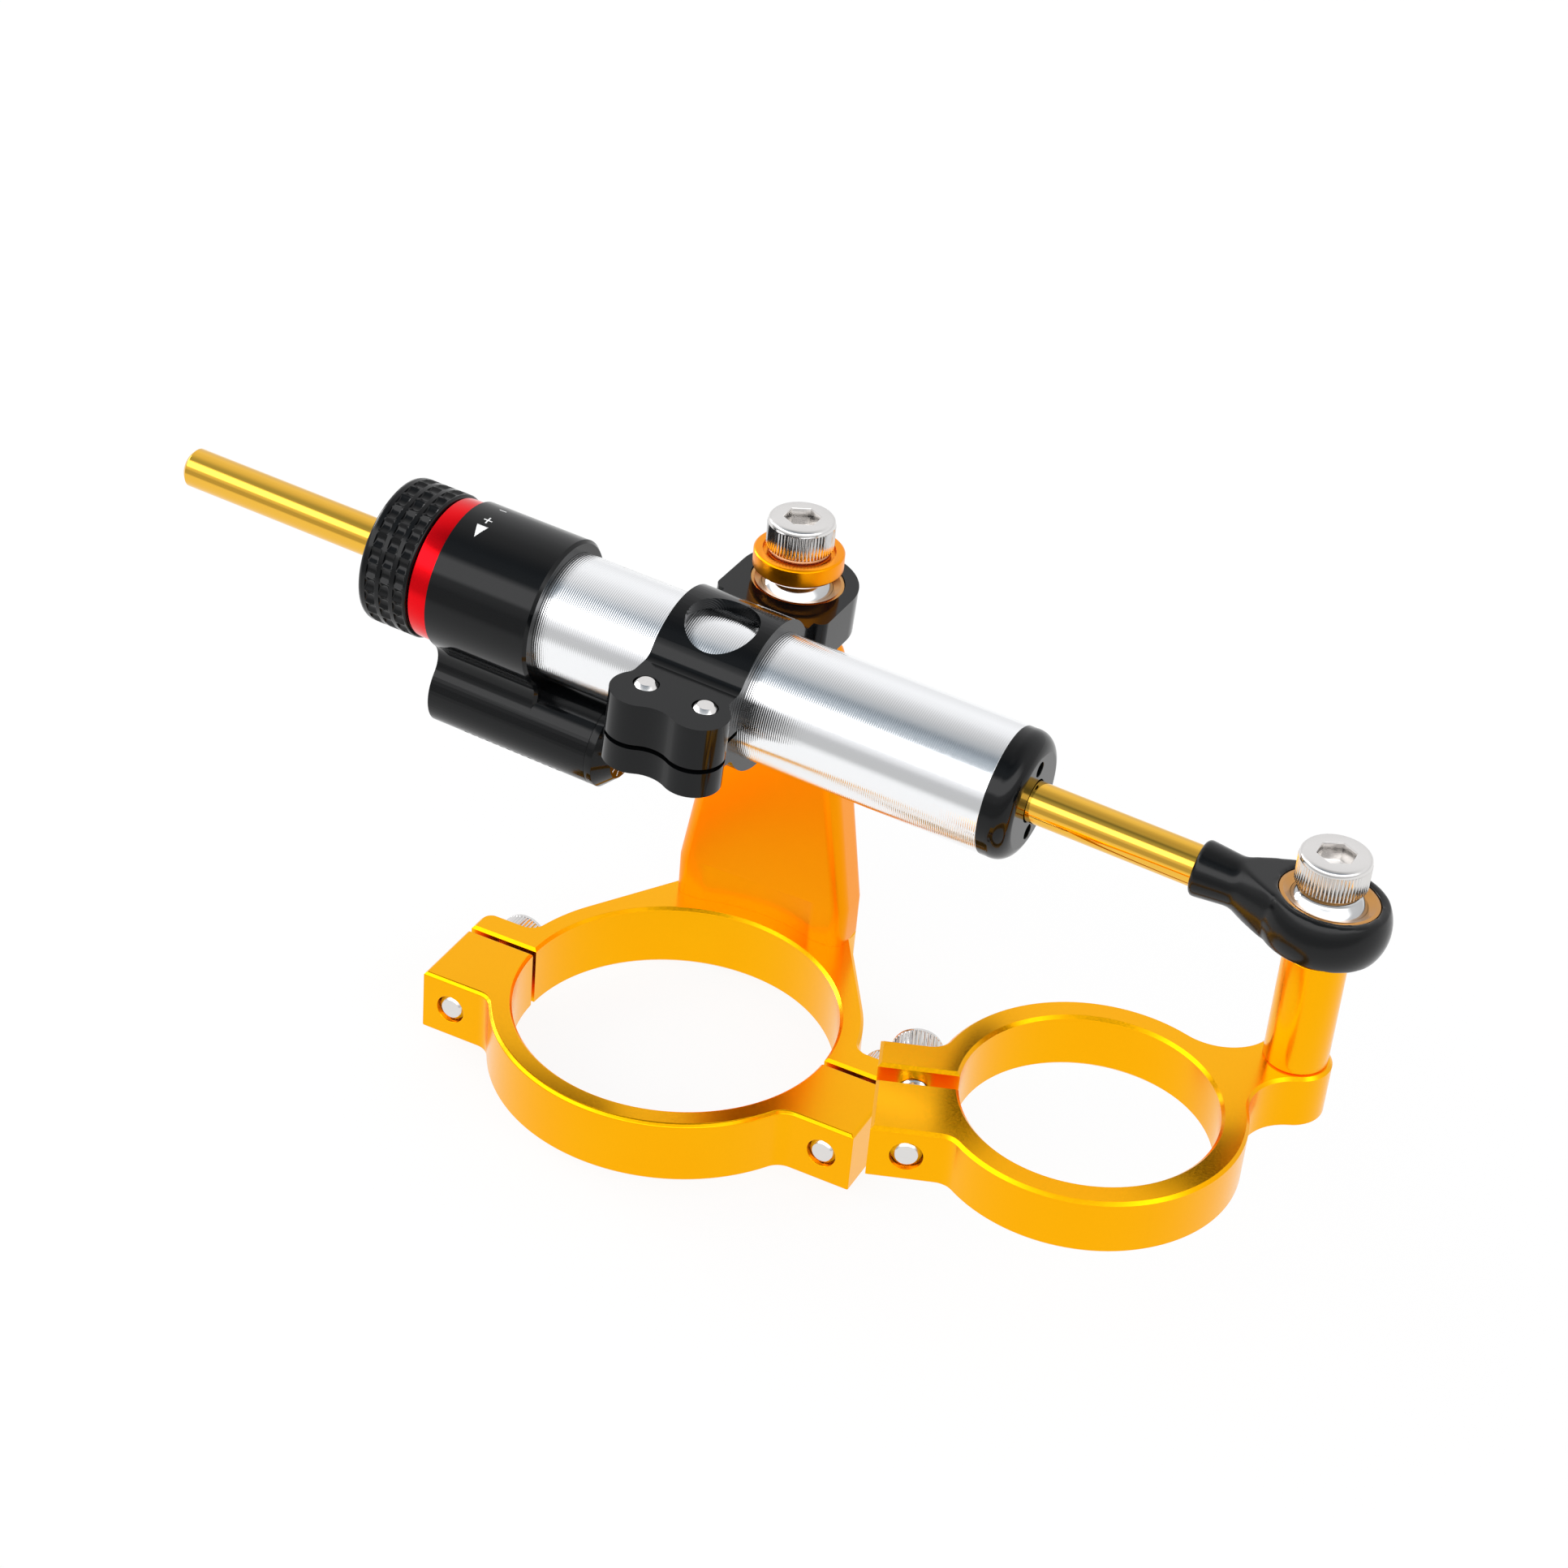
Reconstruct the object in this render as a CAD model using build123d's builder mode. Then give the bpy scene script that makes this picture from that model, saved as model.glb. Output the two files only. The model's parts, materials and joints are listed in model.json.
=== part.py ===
from build123d import *
from math import acos, atan2, cos, hypot, radians, sin, sqrt
import os

# Steering damper with its fork-tube clamp, upright and frame clamp. All lengths are in millimetres.
# The origin is the centre of the big clamp's bore at its lower face. Z runs up along the bore,
# X to the right along the clamp's split and Y to the rear, where the upright stands.

# Fits
press_gap = 0.02
running_gap = 0.04
seal_gap = 0.02
socket_gap = 0.05
part_gap = 0.3
screw_hole_gap = 0.2

# Standard hardware
m8_radius = 4.0
m8_head_radius = 6.65
m8_head_height = 6.4
m8_key = 6.0
m6_radius = 3.0
m6_head_radius = 5.0
m6_head_height = 6.0
m6_key = 5.0
m6_button_radius = 5.25
m6_button_height = 3.3
m6_button_key = 4.0
m5_radius = 2.5
m5_head_radius = 4.25
m5_head_height = 3.5
m5_key = 3.0
head_chamfer = 0.6
tip_chamfer = 0.7
tip_recess = 0.3
ball_radius = 7.9375
ball_width = 14.8
ball_neck_radius = 5.4
ball_neck_blend = 1.5
race_radius = 9.25
race_width = 9.0
race_chamfer = 0.5

# Fork-tube clamp
big_bore_radius = 32.5
big_clamp_wall = 4.7
big_clamp_height = 13.8
split_gap = 1.2
big_lug_reach = 47.7
big_lug_front = 17.7
big_lug_rear = 6.7
big_lug_blend = 4.0
big_lug_rear_blend = 3.0
big_lug_round = 2.5
big_screw_edge = 6.3
clamp_chamfer = 0.6
big_ring_radius = big_bore_radius + big_clamp_wall

# Upright plate and its pivot
upright_front = 34.0
upright_thickness = 10.5
foot_half_width = 19.3
foot_height = 8.6
top_half_width = 10.0
upright_top = 80.5
upright_round = 3.2
upright_top_round = 4.0
foot_relief_radius = 36.4
foot_relief_height = 9.1
web_bend = 39.5
foot_screw_x = 11.6
foot_screw_depth = 11.0
pivot_depth = 17.0
upright_rear = upright_front + upright_thickness
pivot = Vector(0, upright_front + upright_thickness / 2, upright_top + ball_width / 2)

# Cup spacer and washer on the pivot
cup_radius = 8.9
cup_floor = 3.0
cup_rim = 1.0
cup_well_radius = 7.1
washer_thickness = 1.65
washer_radius = 6.2

# Damper axis: from the rod-end ball towards the knob
rod_ball_reach = 121.2
rod_ball_depth = 9.4
rod_ball_height = 78.1
rod_ball = Vector(rod_ball_reach, rod_ball_depth, rod_ball_height)
damper_tilt = 3.11
damper_turn = 0.6
toward_knob = Vector(-1, 0, 0).rotate(Axis.Y, damper_tilt).rotate(Axis.Z, -damper_turn)
damper_back = Vector(0, 1, 0).rotate(Axis.Z, -damper_turn)
damper_up = toward_knob.cross(damper_back) * -1
damper = Plane(origin=rod_ball, x_dir=damper_up, z_dir=toward_knob)

# Stations along the damper axis, counted from the rod-end ball
rod_start = 12.6
shank_end = 24.3
cap_face = 57.0
tube_start = 62.7
cap_plug_end = 76.0
piston_station = 124.5
dial_face = 134.0
reservoir_start = 139.5
head_start = 156.6
tube_end = 165.0
head_end = 179.0
knob_start = 183.7
spigot_end = 191.7
knob_end = 194.7
rod_end_station = 243.5

# Damper radii and inner sizes
rod_radius = 4.0
rod_chamfer = 0.8
rod_thread_radius = 3.0
rod_thread_end = 22.0
tube_radius = 12.65
tube_wall = 1.65
cap_flat_radius = 9.4
cap_lip = 3.0
cap_band = 1.4
pin_hole_radius = 1.5
pin_hole_offset = 7.0
pin_hole_depth = 2.2
gland_radius = 6.5
gland_wall = 1.5
head_gland_length = 10.0
head_radius = 15.04
spigot_radius = 10.0
sleeve_radius = 7.5
sleeve_bore = 5.6
knob_radius = 14.8
knob_edge = 1.4
ring_radius = 14.35
rod_hole_gap = 0.3
o_ring_width = 2.0
o_ring_depth = 1.3
piston_length = 10.0
band_width = 6.0
band_depth = 0.9
piston_port_radius = 1.0
piston_port_offset = 7.4
clip_thickness = 1.0
clip_depth = 0.45
clip_height = 1.3
detent_offset = 12.4
detent_ball_radius = 1.2
detent_depth = 7.0
detent_rise = 0.3
click_count = 24
scallop_count = 24
scallop_radius = 2.3
scallop_depth = 0.45
scallop_length = 2.9
scallop_rows = 3

# Reservoir under the head
reservoir_radius = 8.7
reservoir_drop = 22.9
reservoir_front = 2.5
reservoir_neck_blend = 5.0
reservoir_bore = 6.5
reservoir_end_wall = 2.8
dial_chamfer = 2.0
dial_spigot = 6.0
float_station = 160.0
float_length = 6.0
passage_radius = 1.2
needle_radius = 1.4
needle_length = 14.0
fill_screw_radius = 2.0
notch_count = 14
notch_pitch = 1.61
notch_radius = 0.55
notch_station = 150.3
notch_angle = 43.0

# Pinch clamp round the tube
barrel_radius = 15.2
barrel_length = 19.5
ear_radius = 12.0
ear_thickness = 9.3
ear_stand_off = 1.2
ear_corner = 2.0
lug_half_height = 7.5
lug_screw_reach = 21.15
lug_screw_spread = 6.2
lug_shift = 0.5
lug_lobe_radius = 5.8
lug_lobe_lead = 2.2
lug_notch_blend = 6.5
lug_side_blend = 3.0
lug_root = 13.0
lug_seat_depth = 3.7
lug_tip_height = 0.5
lug_side_end = 1.5
lug_slit = 1.0
lug_slit_drop = 1.2
barrel_blend = 2.6
window_radius = 7.1
window_tilt = 15.0

# Rod end
eye_radius = 12.2
eye_flat_radius = 10.8
eye_thickness = 9.6
eye_roll = 4.6
shank_radius = 5.45
waist_radius = 4.75
shank_start = 16.5
shank_chamfer = 0.6
cone_touch = 45.0
cone_blend = 4.0
flat_reach = 16.5

# Small frame clamp and its post
post_radius = 6.0
post_length = 24.0
small_clamp_height = 11.3
small_bore_radius = 23.5
small_clamp_wall = 5.0
small_clamp_turn = 21.2
post_offset_x = 37.1
post_offset_y = 19.7
small_lug_reach = 38.2
small_lug_front = 15.5
small_lug_rear = 9.7
small_slit_rear = 2.3
small_slit_front = 1.7
small_screw_edge = 6.8
small_ear_radius = 6.9
small_ear_blend = 10.0
small_lug_blend = 4.0
rod_bolt_end = 1.1
small_ring_radius = small_bore_radius + small_clamp_wall

# Places worked out from the sizes above
big_screw_x = big_lug_reach - big_screw_edge
small_screw_x = small_lug_reach - small_screw_edge
tube_bore = tube_radius - tube_wall
ear_near = barrel_radius + ear_stand_off
to_pivot = pivot - rod_ball
clamp_mid = to_pivot.dot(toward_knob)
ear_reach = to_pivot.dot(damper_back)
ear_rise = to_pivot.dot(damper_up)
clamp_start = clamp_mid - barrel_length / 2
clamp_end = clamp_mid + barrel_length / 2
post_top = rod_ball.Z - ball_width / 2
small_clamp_top = post_top - post_length
small_clamp_bottom = small_clamp_top - small_clamp_height
small_place = Plane(origin=(rod_ball.X, rod_ball.Y, small_clamp_bottom), z_dir=(0, 0, 1),
                    x_dir=Vector(1, 0, 0).rotate(Axis.Z, small_clamp_turn))
small_place = small_place.shift_origin(
    small_place.from_local_coords(Vector(-post_offset_x, -post_offset_y, 0)))
reservoir = Plane(origin=damper.from_local_coords(Vector(-reservoir_drop, -reservoir_front, 0)),
                  x_dir=damper_up, z_dir=toward_knob)


def turn(place, *corners, mode=Mode.ADD):
    # Closed outline of (distance along the axis, radius) corners, turned about the place's own axis
    with BuildSketch(Plane(origin=place.origin, x_dir=place.z_dir, z_dir=place.y_dir)) as outline:
        with BuildLine():
            Polyline(*corners, close=True)
        make_face()
    revolve(outline.sketch, axis=Axis(place.origin, place.z_dir), mode=mode)


def bush(place, start, end, inner, outer, mode=Mode.ADD):
    # Plain ring or, with an inner radius of zero, plain disc between two stations
    turn(place, (start, inner), (start, outer), (end, outer), (end, inner), mode=mode)


def neck(first, first_radius, second, second_radius, blend):
    # Region between two round bosses, hollowed on both sides by an arc that touches both
    along = second - first
    reach = along.length
    side = Vector(-along.Y, along.X) / reach
    to_first = first_radius + blend
    to_second = second_radius + blend
    foot = (to_first ** 2 - to_second ** 2 + reach ** 2) / (2 * reach)
    height = sqrt(to_first ** 2 - foot ** 2)
    centres = [first + along * (foot / reach) + side * (height * hand) for hand in (1, -1)]
    touch_first = [first + (centre - first) * (first_radius / to_first) for centre in centres]
    touch_second = [second + (centre - second) * (second_radius / to_second) for centre in centres]
    corners = [touch_first[0], touch_first[1], touch_second[1], touch_second[0]]
    Polygon(*[(corner.X, corner.Y) for corner in corners], align=None)
    with Locations(*[(centre.X, centre.Y) for centre in centres]):
        Circle(blend, mode=Mode.SUBTRACT)
    with Locations((first.X, first.Y)):
        Circle(first_radius)
    with Locations((second.X, second.Y)):
        Circle(second_radius)


def socket_screw(seat, shank_radius, shank_length, screw_head_radius, screw_head_height, key):
    # Cap screw whose head stands on the seat plane, with its shank below the plane
    with BuildPart() as screw:
        turn(seat, (-shank_length, 0), (-shank_length, shank_radius - tip_chamfer),
             (tip_chamfer - shank_length, shank_radius), (0, shank_radius), (0, screw_head_radius),
             (screw_head_height - head_chamfer, screw_head_radius),
             (screw_head_height, screw_head_radius - head_chamfer), (screw_head_height, 0))
        with BuildSketch(seat.offset(screw_head_height)) as socket:
            RegularPolygon(key / 2, 6, major_radius=False)
        extrude(socket.sketch, amount=-screw_head_height / 2, mode=Mode.SUBTRACT)
    return screw.part


def button_screw(seat, shank_radius, shank_length, screw_head_radius, screw_head_height, key):
    # Button-head screw with a domed head on the seat plane
    with BuildPart() as screw:
        bush(seat, -shank_length, 0, 0, shank_radius)
        with BuildSketch(Plane(origin=seat.origin, x_dir=seat.z_dir, z_dir=seat.y_dir)) as dome:
            with BuildLine():
                Line((0, 0), (0, screw_head_radius))
                ThreePointArc((0, screw_head_radius),
                              (screw_head_height * 0.72, screw_head_radius * 0.8),
                              (screw_head_height, screw_head_radius * 0.45))
                Line((screw_head_height, screw_head_radius * 0.45), (screw_head_height, 0))
                Line((screw_head_height, 0), (0, 0))
            make_face()
        revolve(dome.sketch, axis=Axis(seat.origin, seat.z_dir))
        with BuildSketch(seat.offset(screw_head_height)) as socket:
            RegularPolygon(key / 2, 6, major_radius=False)
        extrude(socket.sketch, amount=-screw_head_height * 0.6, mode=Mode.SUBTRACT)
    return screw.part


def joint_ball(place):
    # Ball with a neck at each end and a bore, centred on the place's origin
    bore = m8_radius + running_gap
    blend_reach = ball_radius + ball_neck_blend
    blend_height = ball_neck_radius + ball_neck_blend
    blend_x = sqrt(blend_reach ** 2 - blend_height ** 2)
    touch = Vector(blend_x, blend_height) * (ball_radius / blend_reach)
    halfway = (Vector(-blend_x, -blend_height).normalized() + Vector(0, -1)).normalized()
    hollow = Vector(blend_x, blend_height) + halfway * ball_neck_blend
    with BuildPart() as ball:
        with BuildSketch(Plane(origin=place.origin, x_dir=place.z_dir, z_dir=place.y_dir)) as outline:
            with BuildLine():
                Polyline((-blend_x, ball_neck_radius), (-ball_width / 2, ball_neck_radius),
                         (-ball_width / 2, bore), (ball_width / 2, bore),
                         (ball_width / 2, ball_neck_radius), (blend_x, ball_neck_radius))
                ThreePointArc((-blend_x, ball_neck_radius), (-hollow.X, hollow.Y), (-touch.X, touch.Y))
                ThreePointArc((-touch.X, touch.Y), (0, ball_radius), (touch.X, touch.Y))
                ThreePointArc((touch.X, touch.Y), (hollow.X, hollow.Y), (blend_x, ball_neck_radius))
            make_face()
        revolve(outline.sketch, axis=Axis(place.origin, place.z_dir))
    return ball.part


def joint_race(place):
    # Outer ring of a ball joint, hollowed for its ball
    with BuildPart() as race:
        with Locations(place.location):
            Cylinder(race_radius, race_width)
            Sphere(ball_radius + socket_gap, mode=Mode.SUBTRACT)
        mouth = sqrt((ball_radius + socket_gap) ** 2 - (race_width / 2) ** 2)
        rims = [edge for edge in race.edges().filter_by(GeomType.CIRCLE)
                if abs(edge.radius - mouth) < 0.01]
        chamfer(rims, race_chamfer)
    return race.part


def snap_ring(place, start, inner, outer):
    # Open spring ring with a gap a quarter of its inner radius wide
    with BuildPart() as ring:
        bush(place, start, start + clip_thickness, inner, outer)
        with BuildSketch(place.offset(start)) as opening:
            with Locations((inner, 0)):
                Rectangle(outer, inner / 2)
        extrude(opening.sketch, amount=clip_thickness, mode=Mode.SUBTRACT)
    return ring.part


# Fork-tube clamp, front half: half ring with two deep lugs
big_screw_seats = [Plane(origin=(side * big_screw_x, big_lug_rear, big_clamp_height / 2),
                         x_dir=(1, 0, 0), z_dir=(0, 1, 0)) for side in (-1, 1)]
with BuildPart() as big_clamp_front:
    with BuildSketch() as front_plan:
        Circle(big_ring_radius)
        with Locations((0, -big_lug_front / 2)):
            Rectangle(2 * big_lug_reach, big_lug_front)
        root_x = sqrt(big_ring_radius ** 2 - big_lug_front ** 2)
        roots = [front_plan.vertices().sort_by_distance((side * root_x, -big_lug_front))[0]
                 for side in (-1, 1)]
        fillet(roots, big_lug_blend)
        Circle(big_bore_radius, mode=Mode.SUBTRACT)
        with Locations((0, big_ring_radius - split_gap / 2)):
            Rectangle(2 * big_lug_reach, 2 * big_ring_radius, mode=Mode.SUBTRACT)
    extrude(amount=big_clamp_height)
    chamfer(big_clamp_front.faces().sort_by(Axis.Z)[-1].edges(), clamp_chamfer)
    chamfer(big_clamp_front.faces().sort_by(Axis.Z)[0].edges(), clamp_chamfer)
    for seat in big_screw_seats:
        bush(seat, -2 * big_lug_front, 0, 0, m6_radius + press_gap, mode=Mode.SUBTRACT)

# Fork-tube clamp, rear half: half ring, shallow lugs and the web that carries the upright
foot_corner = hypot(foot_half_width, web_bend)
tangent_angle = atan2(web_bend, foot_half_width) - acos(big_ring_radius / foot_corner)
tangent_point = (big_ring_radius * cos(tangent_angle), big_ring_radius * sin(tangent_angle))
with BuildPart() as big_clamp_rear:
    with BuildSketch() as rear_plan:
        Circle(big_ring_radius)
        Polygon((tangent_point[0], tangent_point[1]), (foot_half_width, web_bend),
                (foot_half_width, upright_rear), (-foot_half_width, upright_rear),
                (-foot_half_width, web_bend), (-tangent_point[0], tangent_point[1]), align=None)
        with Locations((0, big_lug_rear / 2)):
            Rectangle(2 * big_lug_reach, big_lug_rear)
        root_x = sqrt(big_ring_radius ** 2 - big_lug_rear ** 2)
        roots = [rear_plan.vertices().sort_by_distance((side * root_x, big_lug_rear))[0]
                 for side in (-1, 1)]
        fillet(roots, big_lug_rear_blend)
        lug_corners = [rear_plan.vertices().sort_by_distance((side * big_lug_reach, big_lug_rear))[0]
                       for side in (-1, 1)]
        fillet(lug_corners, big_lug_round)
        foot_corners = [rear_plan.vertices().sort_by_distance((side * foot_half_width, upright_rear))[0]
                        for side in (-1, 1)]
        fillet(foot_corners, upright_round)
        Circle(big_bore_radius, mode=Mode.SUBTRACT)
        with Locations((0, split_gap / 2 - big_ring_radius)):
            Rectangle(2 * big_lug_reach, 2 * big_ring_radius, mode=Mode.SUBTRACT)
    extrude(amount=big_clamp_height)
    chamfer(big_clamp_rear.faces().sort_by(Axis.Z)[-1].edges(), clamp_chamfer)
    chamfer(big_clamp_rear.faces().sort_by(Axis.Z)[0].edges(), clamp_chamfer)
    for seat in big_screw_seats:
        bush(seat, -2 * big_lug_front, 0, 0, m6_radius + screw_hole_gap, mode=Mode.SUBTRACT)
        bush(seat, 0, m6_head_height, 0, m6_head_radius + part_gap, mode=Mode.SUBTRACT)
    with Locations((foot_screw_x, pivot.Y), (-foot_screw_x, pivot.Y)):
        Cylinder(m6_radius + screw_hole_gap, 3 * big_clamp_height, mode=Mode.SUBTRACT)

with BuildPart() as big_clamp_screws:
    for seat in big_screw_seats:
        add(socket_screw(seat, m6_radius, big_lug_rear + big_lug_front - tip_recess,
                         m6_head_radius, m6_head_height, m6_key))

# Upright: tapered plate whose foot is hollowed to clear the fork tube's head
with BuildPart() as upright:
    with BuildSketch(Plane.XZ.offset(-upright_rear)) as face_outline:
        with BuildLine():
            Polyline((-foot_half_width, big_clamp_height),
                     (-foot_half_width, big_clamp_height + foot_height),
                     (-top_half_width, upright_top), (top_half_width, upright_top),
                     (foot_half_width, big_clamp_height + foot_height),
                     (foot_half_width, big_clamp_height), close=True)
        make_face()
        top_corners = face_outline.vertices().group_by(Axis.Y)[-1]
        fillet(top_corners, upright_top_round)
    extrude(amount=upright_thickness)
    side_edges = [edge for edge in upright.edges()
                  if abs(edge.tangent_at(0.5).Y) < 0.01 and abs(edge.tangent_at(0.5).Z) > 0.9]
    fillet(side_edges, upright_round)
    with Locations((0, 0, big_clamp_height + foot_relief_height / 2)):
        Cylinder(foot_relief_radius, foot_relief_height, mode=Mode.SUBTRACT)
    with Locations((0, pivot.Y, upright_top - pivot_depth / 2)):
        Cylinder(m8_radius + press_gap, pivot_depth, mode=Mode.SUBTRACT)
    with Locations((foot_screw_x, pivot.Y, big_clamp_height), (-foot_screw_x, pivot.Y, big_clamp_height)):
        Cylinder(m6_radius + press_gap, 2 * foot_screw_depth + 1, mode=Mode.SUBTRACT)

with BuildPart() as upright_screws:
    for side in (-1, 1):
        add(button_screw(Plane(origin=(side * foot_screw_x, pivot.Y, 0), z_dir=(0, 0, -1)),
                         m6_radius, big_clamp_height + foot_screw_depth,
                         m6_button_radius, m6_button_height, m6_button_key))

# Pivot of the pinch clamp: ball, cup spacer, washer and bolt
ball_top = pivot.Z + ball_width / 2
pivot_line = Plane(origin=(pivot.X, pivot.Y, 0), z_dir=(0, 0, 1))
with BuildPart() as cup_spacer:
    turn(pivot_line, (ball_top, m8_radius + screw_hole_gap), (ball_top, cup_radius - clamp_chamfer),
         (ball_top + clamp_chamfer, cup_radius),
         (ball_top + cup_floor + cup_rim - clamp_chamfer, cup_radius),
         (ball_top + cup_floor + cup_rim, cup_radius - clamp_chamfer),
         (ball_top + cup_floor + cup_rim, cup_well_radius), (ball_top + cup_floor, cup_well_radius),
         (ball_top + cup_floor, m8_radius + screw_hole_gap))
washer_top = ball_top + cup_floor + washer_thickness
with BuildPart() as pivot_washer:
    bush(pivot_line, ball_top + cup_floor, washer_top, m8_radius + screw_hole_gap, washer_radius)
pivot_bolt = socket_screw(pivot_line.offset(washer_top), m8_radius,
                          washer_top - upright_top + pivot_depth - tip_recess,
                          m8_head_radius, m8_head_height, m8_key)
ear_place = Plane(origin=pivot, x_dir=toward_knob, z_dir=damper_up)
ear_ball = joint_ball(Plane(origin=pivot, z_dir=(0, 0, 1)))
ear_race = joint_race(ear_place)

# Pinch clamp: split barrel, ear for the ball joint and two-lobed lug
pinch_plan = Plane(origin=damper.from_local_coords(Vector(0, 0, clamp_mid)),
                   x_dir=toward_knob * -1, z_dir=damper_up)
lobe_x = [lug_shift + lug_screw_spread, lug_shift - lug_screw_spread]
lobe_reach = lug_screw_reach + lug_lobe_lead
lug_seats = [Plane(origin=pinch_plan.from_local_coords(Vector(x, -lug_screw_reach, -lug_half_height)),
                   x_dir=toward_knob, z_dir=damper_up * -1).offset(-lug_seat_depth) for x in lobe_x]
with BuildPart() as damper_clamp:
    with BuildSketch(damper.offset(clamp_start)) as barrel_section:
        Circle(barrel_radius)
        with Locations((ear_rise, ear_near / 2 + 1)):
            Rectangle(ear_thickness, ear_near + 2)
        with Locations((0, (lug_side_end - lug_screw_reach) / 2)):
            Rectangle(2 * lug_half_height, lug_screw_reach - lug_side_end)
        corner_heights = [(ear_rise + ear_thickness / 2, 1), (ear_rise - ear_thickness / 2, 1),
                          (lug_half_height, -1), (-lug_half_height, -1)]
        roots = [barrel_section.vertices().sort_by_distance(
                     (height, hand * sqrt(barrel_radius ** 2 - height ** 2)))[0]
                 for height, hand in corner_heights]
        fillet(roots, barrel_blend)
    extrude(amount=clamp_end - clamp_start)
    with BuildSketch(pinch_plan.offset(ear_rise - ear_thickness / 2)) as ear_plan:
        with Locations((0, (ear_near + ear_reach) / 2)):
            Rectangle(2 * ear_radius, ear_reach - ear_near)
        near_corners = ear_plan.vertices().group_by(Axis.Y)[0]
        fillet(near_corners, ear_corner)
        with Locations((0, ear_reach)):
            Circle(ear_radius)
    extrude(amount=ear_thickness)
    with BuildSketch(pinch_plan.offset(-lug_half_height)) as lug_plan:
        neck(Vector(lobe_x[0], -lobe_reach), lug_lobe_radius, Vector(lobe_x[1], -lobe_reach),
             lug_lobe_radius, lug_notch_blend)
        with Locations((0, -(lobe_reach + lug_root) / 2)):
            Rectangle(barrel_length, lobe_reach - lug_root)
        waists = []
        for hand, lobe in ((1, lobe_x[0]), (-1, lobe_x[1])):
            side = hand * barrel_length / 2
            drop = sqrt(lug_lobe_radius ** 2 - (side - lobe) ** 2)
            waists.append(lug_plan.vertices().sort_by_distance((side, drop - lobe_reach))[0])
        fillet(waists, lug_side_blend)
    extrude(amount=2 * lug_half_height)
    bush(damper, clamp_start - 1, clamp_end + 1, 0, tube_radius + press_gap, mode=Mode.SUBTRACT)
    with BuildSketch(pinch_plan.offset(-lug_slit_drop)) as slit:
        with Locations((0, -lug_screw_reach)):
            Rectangle(2 * ear_radius + 4, 2 * (lug_screw_reach - tube_bore + 2))
    extrude(amount=-lug_slit, mode=Mode.SUBTRACT)
    with Locations(pinch_plan.location):
        with Locations(Location((0, 0, 0), (window_tilt, 0, 0))):
            Cylinder(window_radius, 2 * barrel_radius, mode=Mode.SUBTRACT,
                     align=(Align.CENTER, Align.CENTER, Align.MIN))
    with Locations(ear_place.location):
        Cylinder(race_radius + press_gap, 2 * ear_thickness, mode=Mode.SUBTRACT)
    for seat in lug_seats:
        bush(seat, -2 * lug_half_height, 0, 0, m5_radius + press_gap, mode=Mode.SUBTRACT)
        bush(seat, lug_seat_depth + lug_slit_drop - lug_half_height, 0, 0, m5_radius + screw_hole_gap,
             mode=Mode.SUBTRACT)
        bush(seat, 0, 2 * lug_seat_depth, 0, m5_head_radius + screw_hole_gap, mode=Mode.SUBTRACT)

with BuildPart() as damper_clamp_screws:
    for seat in lug_seats:
        add(socket_screw(seat, m5_radius, 2 * lug_half_height - lug_seat_depth + lug_tip_height,
                         m5_head_radius, m5_head_height, m5_key))

# Cylinder tube and its right end: cap, wiper, rod seal, guide bush and O-ring
gland_start = cap_face + cap_lip
wiper_end = gland_start + 2.0
rod_seal_end = wiper_end + 3.2
ring_groove = cap_plug_end - 3 * o_ring_width
with BuildPart() as damper_tube:
    bush(damper, tube_start, tube_end, tube_bore, tube_radius)

with BuildPart() as end_cap:
    with BuildSketch(Plane(origin=damper.origin, x_dir=damper.z_dir, z_dir=damper.y_dir)) as cap_section:
        with BuildLine():
            Polyline((tube_start, tube_radius), (tube_start, tube_bore - running_gap),
                     (cap_plug_end, tube_bore - running_gap), (cap_plug_end, gland_radius),
                     (gland_start, gland_radius), (gland_start, rod_radius + rod_hole_gap),
                     (cap_face, rod_radius + rod_hole_gap), (cap_face, cap_flat_radius))
            dome_end = tube_start - cap_band
            ThreePointArc((cap_face, cap_flat_radius),
                          (cap_face + 0.29 * (dome_end - cap_face),
                           cap_flat_radius + 0.71 * (tube_radius - cap_flat_radius)),
                          (dome_end, tube_radius))
            Line((dome_end, tube_radius), (tube_start, tube_radius))
        make_face()
    revolve(cap_section.sketch, axis=Axis(damper.origin, damper.z_dir))
    with BuildSketch(damper.offset(cap_face)) as pin_holes:
        with Locations((pin_hole_offset, 0), (-pin_hole_offset, 0)):
            Circle(pin_hole_radius)
    extrude(pin_holes.sketch, amount=pin_hole_depth, mode=Mode.SUBTRACT)
    bush(damper, ring_groove, ring_groove + o_ring_width, tube_bore - o_ring_depth, tube_radius,
         mode=Mode.SUBTRACT)

with BuildPart() as cap_o_ring:
    bush(damper, ring_groove + press_gap, ring_groove + o_ring_width - press_gap,
         tube_bore - o_ring_depth + press_gap, tube_bore - press_gap)
with BuildPart() as cap_wiper:
    turn(damper, (gland_start, rod_radius + seal_gap), (gland_start, gland_radius - press_gap),
         (wiper_end, gland_radius - press_gap), (wiper_end, rod_radius + 1.2))
with BuildPart() as cap_rod_seal:
    turn(damper, (wiper_end, rod_radius + seal_gap), (wiper_end, gland_radius - press_gap),
         (rod_seal_end, gland_radius - press_gap), (rod_seal_end, gland_radius - 0.8),
         (rod_seal_end - 1.4, rod_radius + 1.2), (rod_seal_end, rod_radius + 0.5),
         (rod_seal_end, rod_radius + seal_gap))
with BuildPart() as cap_guide:
    bush(damper, rod_seal_end, cap_plug_end - 0.5, rod_radius + running_gap, gland_radius - press_gap)

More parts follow.
